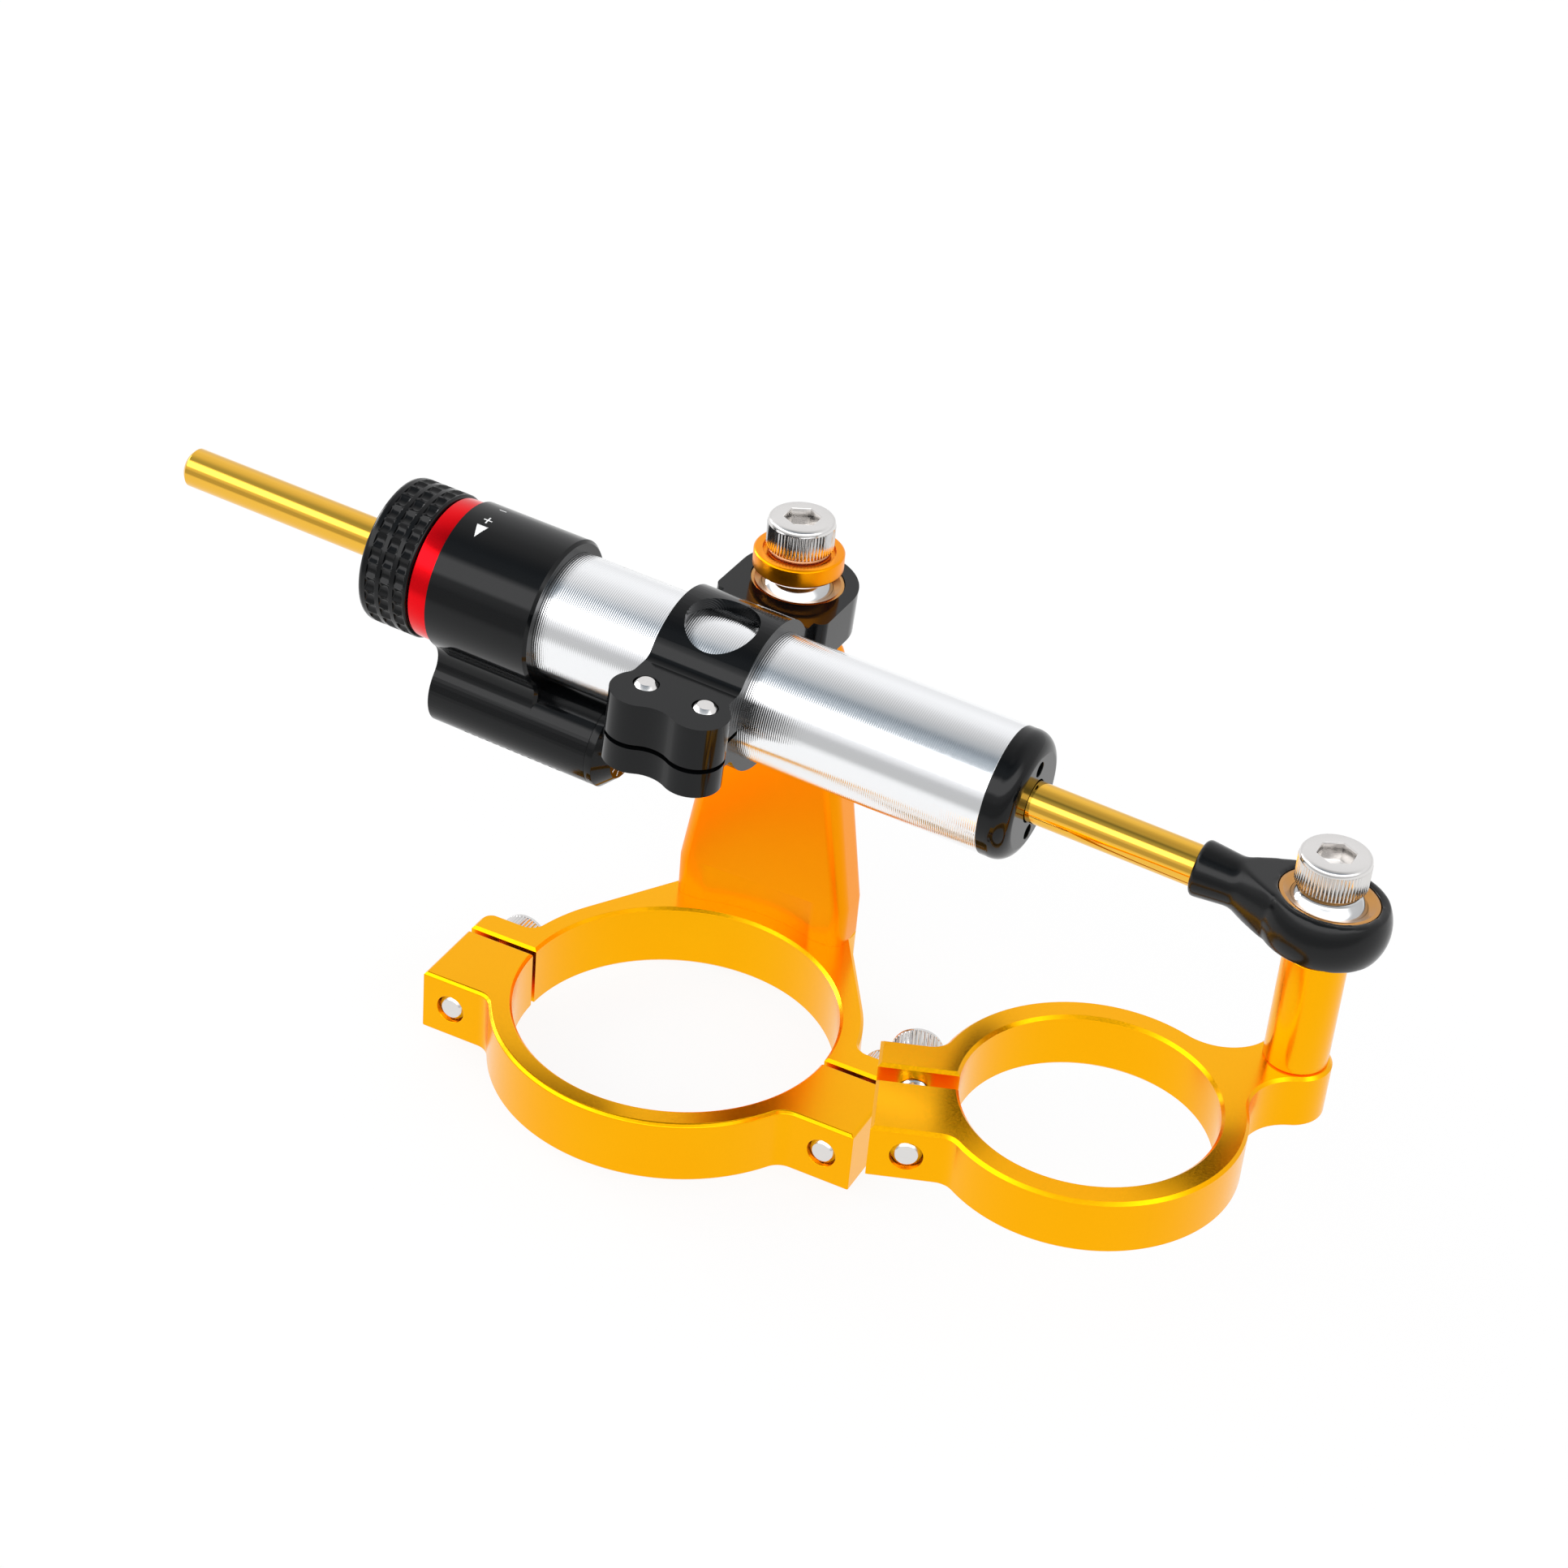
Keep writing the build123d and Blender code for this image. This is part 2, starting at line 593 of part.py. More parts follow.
# Head block: tube socket, rod gland, spigot for ring and knob, and the reservoir below it
head_gland_end = tube_end + head_gland_length
sleeve_start = head_gland_end + gland_wall
reservoir_floor = head_end - reservoir_end_wall
head_groove = tube_end - 2.5 * o_ring_width
clip_groove = spigot_end - 2.7
with BuildPart() as head_body:
    with BuildSketch(damper.offset(head_start)) as head_section:
        neck(Vector(0, 0), head_radius, Vector(-reservoir_drop, -reservoir_front), reservoir_radius,
             reservoir_neck_blend)
    extrude(amount=head_end - head_start)
    chamfer(head_body.faces().sort_by(Axis(damper.origin, toward_knob))[0].edges(), clamp_chamfer)
    bush(reservoir, reservoir_start, head_end - 1, 0, reservoir_radius)
    bush(damper, head_end - 1, spigot_end, 0, spigot_radius)
    bush(damper, head_start - 1, tube_end, 0, tube_radius + press_gap, mode=Mode.SUBTRACT)
    bush(damper, head_groove, head_groove + o_ring_width, 0, tube_radius + o_ring_depth,
         mode=Mode.SUBTRACT)
    bush(damper, tube_end - 1, head_gland_end, 0, gland_radius, mode=Mode.SUBTRACT)
    bush(damper, head_gland_end - 1, spigot_end, 0, rod_radius + rod_hole_gap, mode=Mode.SUBTRACT)
    bush(damper, sleeve_start, spigot_end + 1, 0, sleeve_radius, mode=Mode.SUBTRACT)
    bush(damper, clip_groove, clip_groove + clip_thickness + 0.1, spigot_radius - clip_depth - 0.3,
         spigot_radius + 1, mode=Mode.SUBTRACT)
    bush(reservoir, reservoir_start - 1, reservoir_floor, 0, reservoir_bore, mode=Mode.SUBTRACT)
    bush(reservoir, reservoir_floor - 1, head_end + 1, 0, fill_screw_radius + press_gap,
         mode=Mode.SUBTRACT)
    with BuildSketch(damper.offset(head_end - detent_depth)) as detent_hole:
        with Locations((0, detent_offset)):
            Circle(detent_ball_radius + running_gap)
    extrude(detent_hole.sketch, amount=detent_depth + 1, mode=Mode.SUBTRACT)
    passage_point = damper.from_local_coords(Vector(0, 0, sleeve_start - 2.4))
    passage = Plane(origin=passage_point, z_dir=reservoir.origin - damper.origin)
    with BuildSketch(passage.offset(gland_radius)) as passage_hole:
        Circle(passage_radius)
    extrude(passage_hole.sketch, amount=reservoir_drop - gland_radius - 1, mode=Mode.SUBTRACT)
    notch_turn = radians(notch_angle)
    for index in range(notch_count):
        spot = reservoir.from_local_coords(Vector(-reservoir_radius * cos(notch_turn),
                                                  -reservoir_radius * sin(notch_turn),
                                                  notch_station + index * notch_pitch))
        with Locations(Plane(origin=spot, z_dir=toward_knob).location):
            Sphere(notch_radius, mode=Mode.SUBTRACT)

with BuildPart() as head_o_ring:
    bush(damper, head_groove + press_gap, head_groove + o_ring_width - press_gap,
         tube_radius + press_gap, tube_radius + o_ring_depth - press_gap)
with BuildPart() as head_rod_seal:
    turn(damper, (head_gland_end - 3.2, rod_radius + seal_gap),
         (head_gland_end - 3.2, rod_radius + 0.5), (head_gland_end - 1.8, rod_radius + 1.2),
         (head_gland_end - 3.2, gland_radius - 0.8), (head_gland_end - 3.2, gland_radius - press_gap),
         (head_gland_end, gland_radius - press_gap), (head_gland_end, rod_radius + seal_gap))
with BuildPart() as head_guide:
    bush(damper, tube_end + 0.3, head_gland_end - 3.2, rod_radius + running_gap,
         gland_radius - press_gap)

# Red index ring, detent and click knob
with BuildPart() as index_ring:
    turn(damper, (head_end, spigot_radius + press_gap), (head_end, ring_radius - 0.3),
         (head_end + 0.3, ring_radius), (knob_start - 0.5, ring_radius),
         (knob_start - 0.2, ring_radius - 0.3), (knob_start - 0.2, spigot_radius + press_gap))
    with BuildSketch(damper.offset(head_end - 1)) as ring_hole:
        with Locations((0, detent_offset)):
            Circle(detent_ball_radius + running_gap)
    extrude(ring_hole.sketch, amount=knob_start - head_end + 2, mode=Mode.SUBTRACT)

detent_line = Plane(origin=damper.from_local_coords(Vector(0, detent_offset, 0)),
                    x_dir=damper_up, z_dir=toward_knob)
detent_station = knob_start + detent_rise - detent_ball_radius
with BuildPart() as detent_ball:
    with Locations(detent_line.offset(detent_station).location):
        Sphere(detent_ball_radius)
with BuildPart() as detent_spring:
    bush(detent_line, head_end - detent_depth, detent_station - detent_ball_radius,
         detent_ball_radius - 0.5, detent_ball_radius - 0.1)

row_pitch = (knob_end - knob_start - knob_edge) / scallop_rows
with BuildPart() as adjuster_knob:
    turn(damper, (knob_start, spigot_radius + running_gap), (knob_start, knob_radius - 0.3),
         (knob_start + 0.3, knob_radius), (knob_end - knob_edge, knob_radius),
         (knob_end, knob_radius - knob_edge), (knob_end, sleeve_radius),
         (spigot_end + part_gap, sleeve_radius), (spigot_end + part_gap, spigot_radius + running_gap))
    bush(damper, clip_groove - 0.2, clip_groove + clip_thickness + 0.3, spigot_radius - 1,
         spigot_radius + clip_height, mode=Mode.SUBTRACT)
    bush(damper, knob_start - 1, knob_start + 0.1, detent_offset - 1, detent_offset + 1,
         mode=Mode.SUBTRACT)
    with Locations(damper.offset(detent_station).location):
        with PolarLocations(detent_offset, click_count, start_angle=90):
            Sphere(detent_ball_radius + running_gap, mode=Mode.SUBTRACT)
    for row in range(scallop_rows):
        row_place = damper.offset(knob_start + 0.3 + row * row_pitch)
        with BuildSketch(row_place) as scallops:
            with PolarLocations(knob_radius + scallop_radius - scallop_depth, scallop_count,
                                start_angle=row * 180 / scallop_count):
                Circle(scallop_radius)
        extrude(scallops.sketch, amount=scallop_length, mode=Mode.SUBTRACT)

knob_clip = snap_ring(damper, clip_groove + 0.05, spigot_radius - clip_depth,
                      spigot_radius + clip_height - 0.35)
with BuildPart() as metering_sleeve:
    bush(damper, sleeve_start + 0.2, knob_end - 0.4, sleeve_bore, sleeve_radius - running_gap)
    with BuildSketch(Plane(origin=damper.from_local_coords(Vector(0, 0, sleeve_start + 2)),
                           x_dir=toward_knob, z_dir=damper_up)) as sleeve_port:
        Circle(passage_radius)
    extrude(sleeve_port.sketch, amount=2 * sleeve_radius, both=True, mode=Mode.SUBTRACT)
with BuildPart() as head_wiper:
    turn(damper, (knob_end - 2.6, rod_radius + 1.0), (knob_end - 2.6, sleeve_bore - press_gap),
         (knob_end - 0.6, sleeve_bore - press_gap), (knob_end - 0.6, rod_radius + seal_gap))

# Through rod with its piston
clip_stations = (piston_station - piston_length / 2 - clip_thickness - 0.1,
                 piston_station + piston_length / 2 + 0.1)
with BuildPart() as damper_rod:
    turn(damper, (rod_start, 0), (rod_start, rod_thread_radius - rod_chamfer),
         (rod_start + rod_chamfer, rod_thread_radius), (rod_thread_end, rod_thread_radius),
         (rod_thread_end, rod_radius), (rod_end_station - rod_chamfer, rod_radius),
         (rod_end_station, rod_radius - rod_chamfer), (rod_end_station, 0))
    for station in clip_stations:
        bush(damper, station - 0.05, station + clip_thickness + 0.05, rod_radius - clip_depth,
             rod_radius + 1, mode=Mode.SUBTRACT)

band_groove = tube_bore - running_gap - band_depth
with BuildPart() as piston:
    bush(damper, piston_station - piston_length / 2, piston_station + piston_length / 2,
         rod_radius + running_gap, tube_bore - part_gap)
    bush(damper, piston_station - band_width / 2, piston_station + band_width / 2,
         band_groove, tube_bore, mode=Mode.SUBTRACT)
    with BuildSketch(damper.offset(piston_station - piston_length)) as ports:
        with PolarLocations(piston_port_offset, 4):
            Circle(piston_port_radius)
    extrude(ports.sketch, amount=2 * piston_length, mode=Mode.SUBTRACT)
with BuildPart() as piston_band:
    bush(damper, piston_station - band_width / 2 + press_gap, piston_station + band_width / 2 - press_gap,
         band_groove + press_gap, tube_bore - running_gap)
with BuildPart() as piston_clips:
    for station in clip_stations:
        add(snap_ring(damper, station, rod_radius - clip_depth + press_gap, rod_radius + clip_height))

# Reservoir contents: dial with its needle and seal, floating piston and fill screw
dial_groove = reservoir_start + dial_spigot / 2
with BuildPart() as reservoir_dial:
    turn(reservoir, (dial_face, needle_radius + press_gap), (dial_face, reservoir_radius - dial_chamfer),
         (dial_face + dial_chamfer, reservoir_radius), (reservoir_start - 0.1, reservoir_radius),
         (reservoir_start - 0.1, reservoir_bore - running_gap),
         (reservoir_start + dial_spigot, reservoir_bore - running_gap),
         (reservoir_start + dial_spigot, needle_radius + press_gap))
    bush(reservoir, dial_groove, dial_groove + o_ring_width, reservoir_bore - o_ring_depth,
         reservoir_bore + 1, mode=Mode.SUBTRACT)
with BuildPart() as reservoir_dial_seal:
    bush(reservoir, dial_groove + press_gap, dial_groove + o_ring_width - press_gap,
         reservoir_bore - o_ring_depth + press_gap, reservoir_bore - seal_gap)
with BuildPart() as reservoir_needle:
    turn(reservoir, (dial_face + 0.6, 0), (dial_face + 0.6, needle_radius),
         (dial_face + needle_length, needle_radius), (dial_face + needle_length + 3, 0.3),
         (dial_face + needle_length + 3, 0))
with BuildPart() as reservoir_piston:
    bush(reservoir, float_station - float_length / 2, float_station + float_length / 2, 0,
         reservoir_bore - running_gap)
    bush(reservoir, float_station - o_ring_width / 2, float_station + o_ring_width / 2,
         reservoir_bore - o_ring_depth, reservoir_bore + 1, mode=Mode.SUBTRACT)
with BuildPart() as reservoir_piston_seal:
    bush(reservoir, float_station - o_ring_width / 2 + press_gap,
         float_station + o_ring_width / 2 - press_gap,
         reservoir_bore - o_ring_depth + press_gap, reservoir_bore - seal_gap)
with BuildPart() as fill_screw:
    bush(reservoir, reservoir_floor + 0.1, head_end - 0.2, 0, fill_screw_radius)
    with BuildSketch(reservoir.offset(head_end - 0.2)) as fill_socket:
        RegularPolygon(1.0, 6, major_radius=False)
    extrude(fill_socket.sketch, amount=-1.4, mode=Mode.SUBTRACT)

# Rod end: rounded eye, neck and shank
eye_up = damper_up.rotate(Axis((0, 0, 0), toward_knob), eye_roll)
eye_place = Plane(origin=rod_ball, x_dir=toward_knob, z_dir=eye_up)
with BuildPart() as rod_end:
    with BuildSketch(Plane(origin=rod_ball, x_dir=eye_up, z_dir=eye_place.y_dir * -1)) as eye_section:
        with BuildLine():
            Line((-eye_thickness / 2, 0), (eye_thickness / 2, 0))
            Line((eye_thickness / 2, 0), (eye_thickness / 2, eye_flat_radius))
            ThreePointArc((eye_thickness / 2, eye_flat_radius), (0, eye_radius),
                          (-eye_thickness / 2, eye_flat_radius))
            Line((-eye_thickness / 2, eye_flat_radius), (-eye_thickness / 2, 0))
        make_face()
    revolve(eye_section.sketch, axis=Axis(rod_ball, eye_up))
    with BuildSketch(Plane(origin=rod_ball, x_dir=toward_knob, z_dir=damper.y_dir)) as cone_section:
        with BuildLine():
            cone_root = (eye_radius * cos(radians(cone_touch)), eye_radius * sin(radians(cone_touch)))
            Polyline((0, 0), (0, cone_root[1]), cone_root, (shank_start, waist_radius),
                     (shank_end - shank_chamfer, shank_radius), (shank_end, shank_radius - shank_chamfer),
                     (shank_end, 0), close=True)
        make_face()
        fillet(cone_section.vertices().sort_by_distance((shank_start, waist_radius))[0], cone_blend)
    with BuildPart(mode=Mode.PRIVATE) as cone:
        revolve(cone_section.sketch, axis=Axis(rod_ball, toward_knob))
    add(cone.part)
    for side in (-1, 1):
        with BuildSketch(eye_place.offset(side * eye_thickness / 2)) as mill_plan:
            Circle(flat_reach)
        extrude(mill_plan.sketch, amount=side * eye_radius, mode=Mode.SUBTRACT)
    bush(damper, rod_start - 0.2, shank_end + 1, 0, rod_thread_radius + press_gap, mode=Mode.SUBTRACT)
    bush(damper, rod_thread_end - 0.1, shank_end + 1, 0, rod_radius + press_gap, mode=Mode.SUBTRACT)
    with Locations(eye_place.location):
        Cylinder(race_radius + press_gap, 2 * eye_thickness, mode=Mode.SUBTRACT)
rod_end_race = joint_race(eye_place)
rod_end_ball = joint_ball(Plane(origin=rod_ball, z_dir=(0, 0, 1)))

# Bolt, post and one-piece clamp at the rod end
post_line = Plane(origin=(rod_ball.X, rod_ball.Y, 0), z_dir=(0, 0, 1))
rod_bolt_seat = rod_ball.Z + ball_width / 2
rod_end_bolt = socket_screw(post_line.offset(rod_bolt_seat), m8_radius,
                            rod_bolt_seat - small_clamp_bottom - rod_bolt_end,
                            m8_head_radius, m8_head_height, m8_key)
with BuildPart() as rod_end_post:
    turn(post_line, (small_clamp_top, m8_radius + screw_hole_gap), (small_clamp_top, post_radius),
         (post_top - 0.4, post_radius), (post_top, post_radius - 0.4),
         (post_top, m8_radius + screw_hole_gap))

small_screw_seat = Plane(
    origin=small_place.from_local_coords(Vector(-small_screw_x, small_lug_rear, small_clamp_height / 2)),
    x_dir=small_place.x_dir, z_dir=small_place.y_dir)
with BuildPart() as small_clamp:
    with BuildSketch(small_place) as small_plan:
        with Locations((-small_lug_reach / 2, (small_lug_rear - small_lug_front) / 2)):
            Rectangle(small_lug_reach, small_lug_rear + small_lug_front)
        Circle(small_ring_radius)
        roots = [small_plan.vertices().sort_by_distance(
                     (-sqrt(small_ring_radius ** 2 - edge ** 2), edge))[0]
                 for edge in (small_lug_rear, -small_lug_front)]
        fillet(roots, small_lug_blend)
        neck(Vector(0, 0), small_ring_radius, Vector(post_offset_x, post_offset_y), small_ear_radius,
             small_ear_blend)
        Circle(small_bore_radius, mode=Mode.SUBTRACT)
        with Locations((-small_lug_reach, (small_slit_rear - small_slit_front) / 2)):
            Rectangle(2 * (small_lug_reach - small_bore_radius + 1), small_slit_rear + small_slit_front,
                      mode=Mode.SUBTRACT)
    extrude(amount=small_clamp_height)
    chamfer(small_clamp.faces().sort_by(Axis.Z)[-1].edges(), clamp_chamfer)
    chamfer(small_clamp.faces().sort_by(Axis.Z)[0].edges(), clamp_chamfer)
    with Locations((rod_ball.X, rod_ball.Y, small_clamp_bottom)):
        Cylinder(m8_radius + press_gap, 3 * small_clamp_height, mode=Mode.SUBTRACT)
    bush(small_screw_seat, -2 * small_lug_reach, 0, 0, m6_radius + press_gap, mode=Mode.SUBTRACT)
    bush(small_screw_seat, small_slit_rear - small_lug_rear - 1, 0, 0, m6_radius + screw_hole_gap,
         mode=Mode.SUBTRACT)
    bush(small_screw_seat, 0, m6_head_height, 0, m6_head_radius + part_gap, mode=Mode.SUBTRACT)
small_clamp_screw = socket_screw(small_screw_seat, m6_radius, small_lug_rear + small_lug_front - tip_recess,
                                 m6_head_radius, m6_head_height, m6_key)

# Named pieces, one file each
pieces = {
    "big_clamp_rear": big_clamp_rear.part, "big_clamp_front": big_clamp_front.part,
    "big_clamp_screws": big_clamp_screws.part, "upright": upright.part,
    "upright_screws": upright_screws.part, "pivot_bolt": pivot_bolt,
    "pivot_washer": pivot_washer.part, "cup_spacer": cup_spacer.part,
    "ear_ball": ear_ball, "ear_race": ear_race, "damper_clamp": damper_clamp.part,
    "damper_clamp_screws": damper_clamp_screws.part, "damper_tube": damper_tube.part,
    "end_cap": end_cap.part, "cap_o_ring": cap_o_ring.part, "cap_wiper": cap_wiper.part,
    "cap_rod_seal": cap_rod_seal.part, "cap_guide": cap_guide.part, "head_body": head_body.part,
    "head_o_ring": head_o_ring.part, "head_rod_seal": head_rod_seal.part,
    "head_guide": head_guide.part, "head_wiper": head_wiper.part, "index_ring": index_ring.part,
    "detent_ball": detent_ball.part, "detent_spring": detent_spring.part,
    "adjuster_knob": adjuster_knob.part, "knob_clip": knob_clip,
    "metering_sleeve": metering_sleeve.part, "damper_rod": damper_rod.part,
    "piston": piston.part, "piston_band": piston_band.part, "piston_clips": piston_clips.part,
    "reservoir_dial": reservoir_dial.part, "reservoir_dial_seal": reservoir_dial_seal.part,
    "reservoir_needle": reservoir_needle.part, "reservoir_piston": reservoir_piston.part,
    "reservoir_piston_seal": reservoir_piston_seal.part, "fill_screw": fill_screw.part,
    "rod_end": rod_end.part, "rod_end_race": rod_end_race, "rod_end_ball": rod_end_ball,
    "rod_end_bolt": rod_end_bolt, "rod_end_post": rod_end_post.part,
    "small_clamp": small_clamp.part, "small_clamp_screw": small_clamp_screw,
}
os.makedirs("parts", exist_ok=True)
for piece_name, piece in pieces.items():
    piece.label = piece_name
    export_step(piece, "parts/" + piece_name + ".step")
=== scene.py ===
import json
import math
import bmesh
import bpy
import numpy as np
from mathutils import Matrix, Vector

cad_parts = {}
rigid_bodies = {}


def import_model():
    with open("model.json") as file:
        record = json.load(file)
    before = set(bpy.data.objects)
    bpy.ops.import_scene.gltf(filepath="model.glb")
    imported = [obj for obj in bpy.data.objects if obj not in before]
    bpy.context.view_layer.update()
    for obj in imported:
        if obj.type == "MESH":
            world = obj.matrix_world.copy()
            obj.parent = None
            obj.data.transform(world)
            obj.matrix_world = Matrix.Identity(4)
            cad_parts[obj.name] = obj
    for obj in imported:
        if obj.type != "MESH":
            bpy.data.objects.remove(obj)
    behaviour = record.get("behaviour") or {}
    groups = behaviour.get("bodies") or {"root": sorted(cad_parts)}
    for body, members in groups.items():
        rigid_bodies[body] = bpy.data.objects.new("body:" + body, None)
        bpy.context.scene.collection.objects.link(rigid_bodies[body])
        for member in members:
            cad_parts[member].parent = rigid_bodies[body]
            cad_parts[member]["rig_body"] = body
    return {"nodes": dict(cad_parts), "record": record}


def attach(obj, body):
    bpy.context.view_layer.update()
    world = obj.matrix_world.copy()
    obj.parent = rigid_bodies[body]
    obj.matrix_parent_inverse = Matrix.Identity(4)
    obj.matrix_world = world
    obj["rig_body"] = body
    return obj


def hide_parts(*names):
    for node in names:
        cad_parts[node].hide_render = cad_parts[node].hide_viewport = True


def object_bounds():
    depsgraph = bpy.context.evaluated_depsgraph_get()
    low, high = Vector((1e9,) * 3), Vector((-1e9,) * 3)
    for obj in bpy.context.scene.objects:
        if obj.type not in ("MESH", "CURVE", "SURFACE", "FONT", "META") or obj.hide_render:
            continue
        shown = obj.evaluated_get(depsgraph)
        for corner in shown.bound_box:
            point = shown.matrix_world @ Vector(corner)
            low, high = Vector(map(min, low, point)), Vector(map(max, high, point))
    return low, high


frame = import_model()
nodes = frame["nodes"]
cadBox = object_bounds()
print("frame loaded with", len(nodes), "CAD nodes")

# Sizes are in millimetres, colours are linear, and a mesh gets its points times mm. Points closer
# than mergeNew, or mergeCopied in a copy of a CAD mesh, become one. The UV map of a turned piece
# is uvRound metres once round
mm = 0.001
mergeNew, mergeCopied = 0.0002 * mm, 0.001 * mm
uvRound = 0.08
xAxis, yAxis, zAxis = np.eye(3)
fullTurn = 2 * np.pi

# The damper's own axes: alongAxis runs from the rod-end ball to the knob, rearAxis back and
# upAxis up. A station is a distance from the rod-end ball along alongAxis
damper = {"ball": (121.2, 9.4, 78.1), "pivot": (0.0, 39.25, 87.9), "riseDegrees": 3.11,
          "turnDegrees": 0.6, "reservoirDrop": 22.9, "reservoirFront": 2.5, "eyeRollDegrees": 4.6}
rise, swing = math.radians(damper["riseDegrees"]), math.radians(damper["turnDegrees"])
alongAxis = np.array([-math.cos(rise) * math.cos(swing), math.cos(rise) * math.sin(swing),
                      math.sin(rise)])
rearAxis = np.array([math.sin(swing), math.cos(swing), 0.0])
upAxis = np.cross(rearAxis, alongAxis)
ballPoint = np.array(damper["ball"])
pivotPoint = np.array(damper["pivot"])
reservoirPoint = (ballPoint - damper["reservoirDrop"] * upAxis
                  - damper["reservoirFront"] * rearAxis)
eyeRoll = math.radians(damper["eyeRollDegrees"])
eyeAxis = math.cos(eyeRoll) * upAxis + math.sin(eyeRoll) * rearAxis

# Finishes. Over the noise, colour and roughness run from their first value to their second.
# "grain" is the fine noise's scale, "bump" its strength and "cloud" the scale of the colour's
# broad noise. "sockets" are constants on the shader, "lines" the pitch and depth of turned lines
# in metres
finishSettings = {
    "goldAnodised": {"colors": ((1.0, 0.43, 0.0015), (1.0, 0.47, 0.003)), "rough": (0.18, 0.25),
                     "metallic": 1.0, "grain": 2400, "bump": 0.03},
    "deepGold": {"colors": ((1.0, 0.315, 0.0008), (1.0, 0.345, 0.0015)), "rough": (0.28, 0.35),
                 "metallic": 1.0, "grain": 2400, "bump": 0.03},
    "blackAnodised": {"colors": ((0.0018, 0.0021, 0.0025), (0.003, 0.0034, 0.0038)),
                      "rough": (0.07, 0.11), "metallic": 0.0, "grain": 1800, "bump": 0.008,
                      "sockets": {"IOR": 1.33}},
    "satinBlack": {"colors": ((0.0018, 0.0021, 0.0025), (0.003, 0.0034, 0.0038)),
                   "rough": (0.15, 0.21), "metallic": 0.0, "grain": 2200, "bump": 0.012,
                   "sockets": {"IOR": 1.35}},
    "redAnodised": {"colors": ((0.78, 0.0008, 0.004), (0.86, 0.0015, 0.009)),
                    "rough": (0.15, 0.2), "metallic": 0.85, "grain": 2200, "bump": 0.012,
                    "sockets": {"IOR": 1.4}},
    "turnedSilver": {"colors": ((0.92, 0.93, 0.945), (0.94, 0.95, 0.96)), "rough": (0.14, 0.2),
                     "metallic": 1.0, "grain": 1400, "bump": 0.02,
                     "sockets": {"Anisotropic": 0.6}, "lines": (0.00044, 0.000024)},
    "goldRod": {"colors": ((0.86, 0.48, 0.055), (0.90, 0.52, 0.07)), "rough": (0.04, 0.08),
                "metallic": 1.0, "grain": 1500, "bump": 0.01},
    "bronze": {"colors": ((0.54, 0.26, 0.075), (0.62, 0.32, 0.105)), "rough": (0.17, 0.24),
               "metallic": 1.0, "grain": 1400, "bump": 0.02},
    "chromedBall": {"colors": ((0.53, 0.535, 0.54), (0.57, 0.575, 0.58)), "rough": (0.08, 0.12),
                    "metallic": 1.0, "grain": 1200, "bump": 0.01},
    "stainless": {"colors": ((0.71, 0.695, 0.68), (0.77, 0.755, 0.74)), "rough": (0.15, 0.21),
                  "metallic": 1.0, "grain": 1700, "bump": 0.02, "cloud": 160.0},
    "copperWasher": {"colors": ((0.56, 0.26, 0.12), (0.68, 0.35, 0.19)), "rough": (0.22, 0.3),
                     "metallic": 1.0, "grain": 1500, "bump": 0.03, "cloud": 160.0},
    "sealRubber": {"colors": ((0.018, 0.018, 0.018), (0.026, 0.026, 0.026)), "rough": (0.5, 0.7),
                   "metallic": 0.0, "grain": 2500, "bump": 0.2},
    "guidePlastic": {"colors": ((0.27, 0.20, 0.10), (0.34, 0.25, 0.14)), "rough": (0.42, 0.58),
                     "metallic": 0.0, "grain": 1600, "bump": 0.15},
    "whitePaint": {"colors": ((0.82, 0.82, 0.81), (0.90, 0.90, 0.89)), "rough": (0.4, 0.55),
                   "metallic": 0.0, "grain": 2600, "bump": 0.05}}
noiseSettings = {"detail": 3, "low": 0.3, "high": 0.7, "bumpHeight": 0.00005, "cloud": 45.0}


def feed(owner, node, inputs):
    # Each input gets its constant, or a link where its value is another node's output
    for socket, value in inputs.items():
        if isinstance(value, bpy.types.NodeSocket):
            owner.node_tree.links.new(value, node.inputs[socket])
        else:
            node.inputs[socket].default_value = value


def newFinish(name, color, metallic, roughness, sockets):
    # Principled material whose constants stand on the shader's own sockets
    mat = bpy.data.materials.new(name)
    mat.use_nodes = True
    shader = mat.node_tree.nodes["Principled BSDF"]
    feed(mat, shader, {"Base Color": (*color, 1), "Metallic": metallic, "Roughness": roughness,
                       **sockets})
    return mat, shader


def addGrain(mat, shader, finish):
    # Fine noise -> bump and roughness, broad noise -> a slight change of colour, both on
    # object coordinates
    tree, n = mat.node_tree.nodes, noiseSettings
    place = tree.new("ShaderNodeTexCoord").outputs["Object"]
    fine = tree.new("ShaderNodeTexNoise")
    feed(mat, fine, {"Vector": place, "Scale": finish["grain"], "Detail": n["detail"]})
    spread = tree.new("ShaderNodeMapRange")
    feed(mat, spread, {"Value": fine.outputs["Fac"], "From Min": n["low"], "From Max": n["high"],
                       "To Min": finish["rough"][0], "To Max": finish["rough"][1]})
    lift = tree.new("ShaderNodeBump")
    feed(mat, lift, {"Height": fine.outputs["Fac"], "Strength": finish["bump"],
                     "Distance": n["bumpHeight"]})
    broad = tree.new("ShaderNodeTexNoise")
    feed(mat, broad, {"Vector": place, "Scale": finish.get("cloud", n["cloud"])})
    mix = tree.new("ShaderNodeMix")
    mix.data_type = "RGBA"
    feed(mat, mix, {"Factor": broad.outputs["Fac"], "A": (*finish["colors"][0], 1),
                    "B": (*finish["colors"][1], 1)})
    feed(mat, shader, {"Base Color": mix.outputs["Result"], "Normal": lift.outputs["Normal"],
                       "Roughness": spread.outputs["Result"]})
    return lift


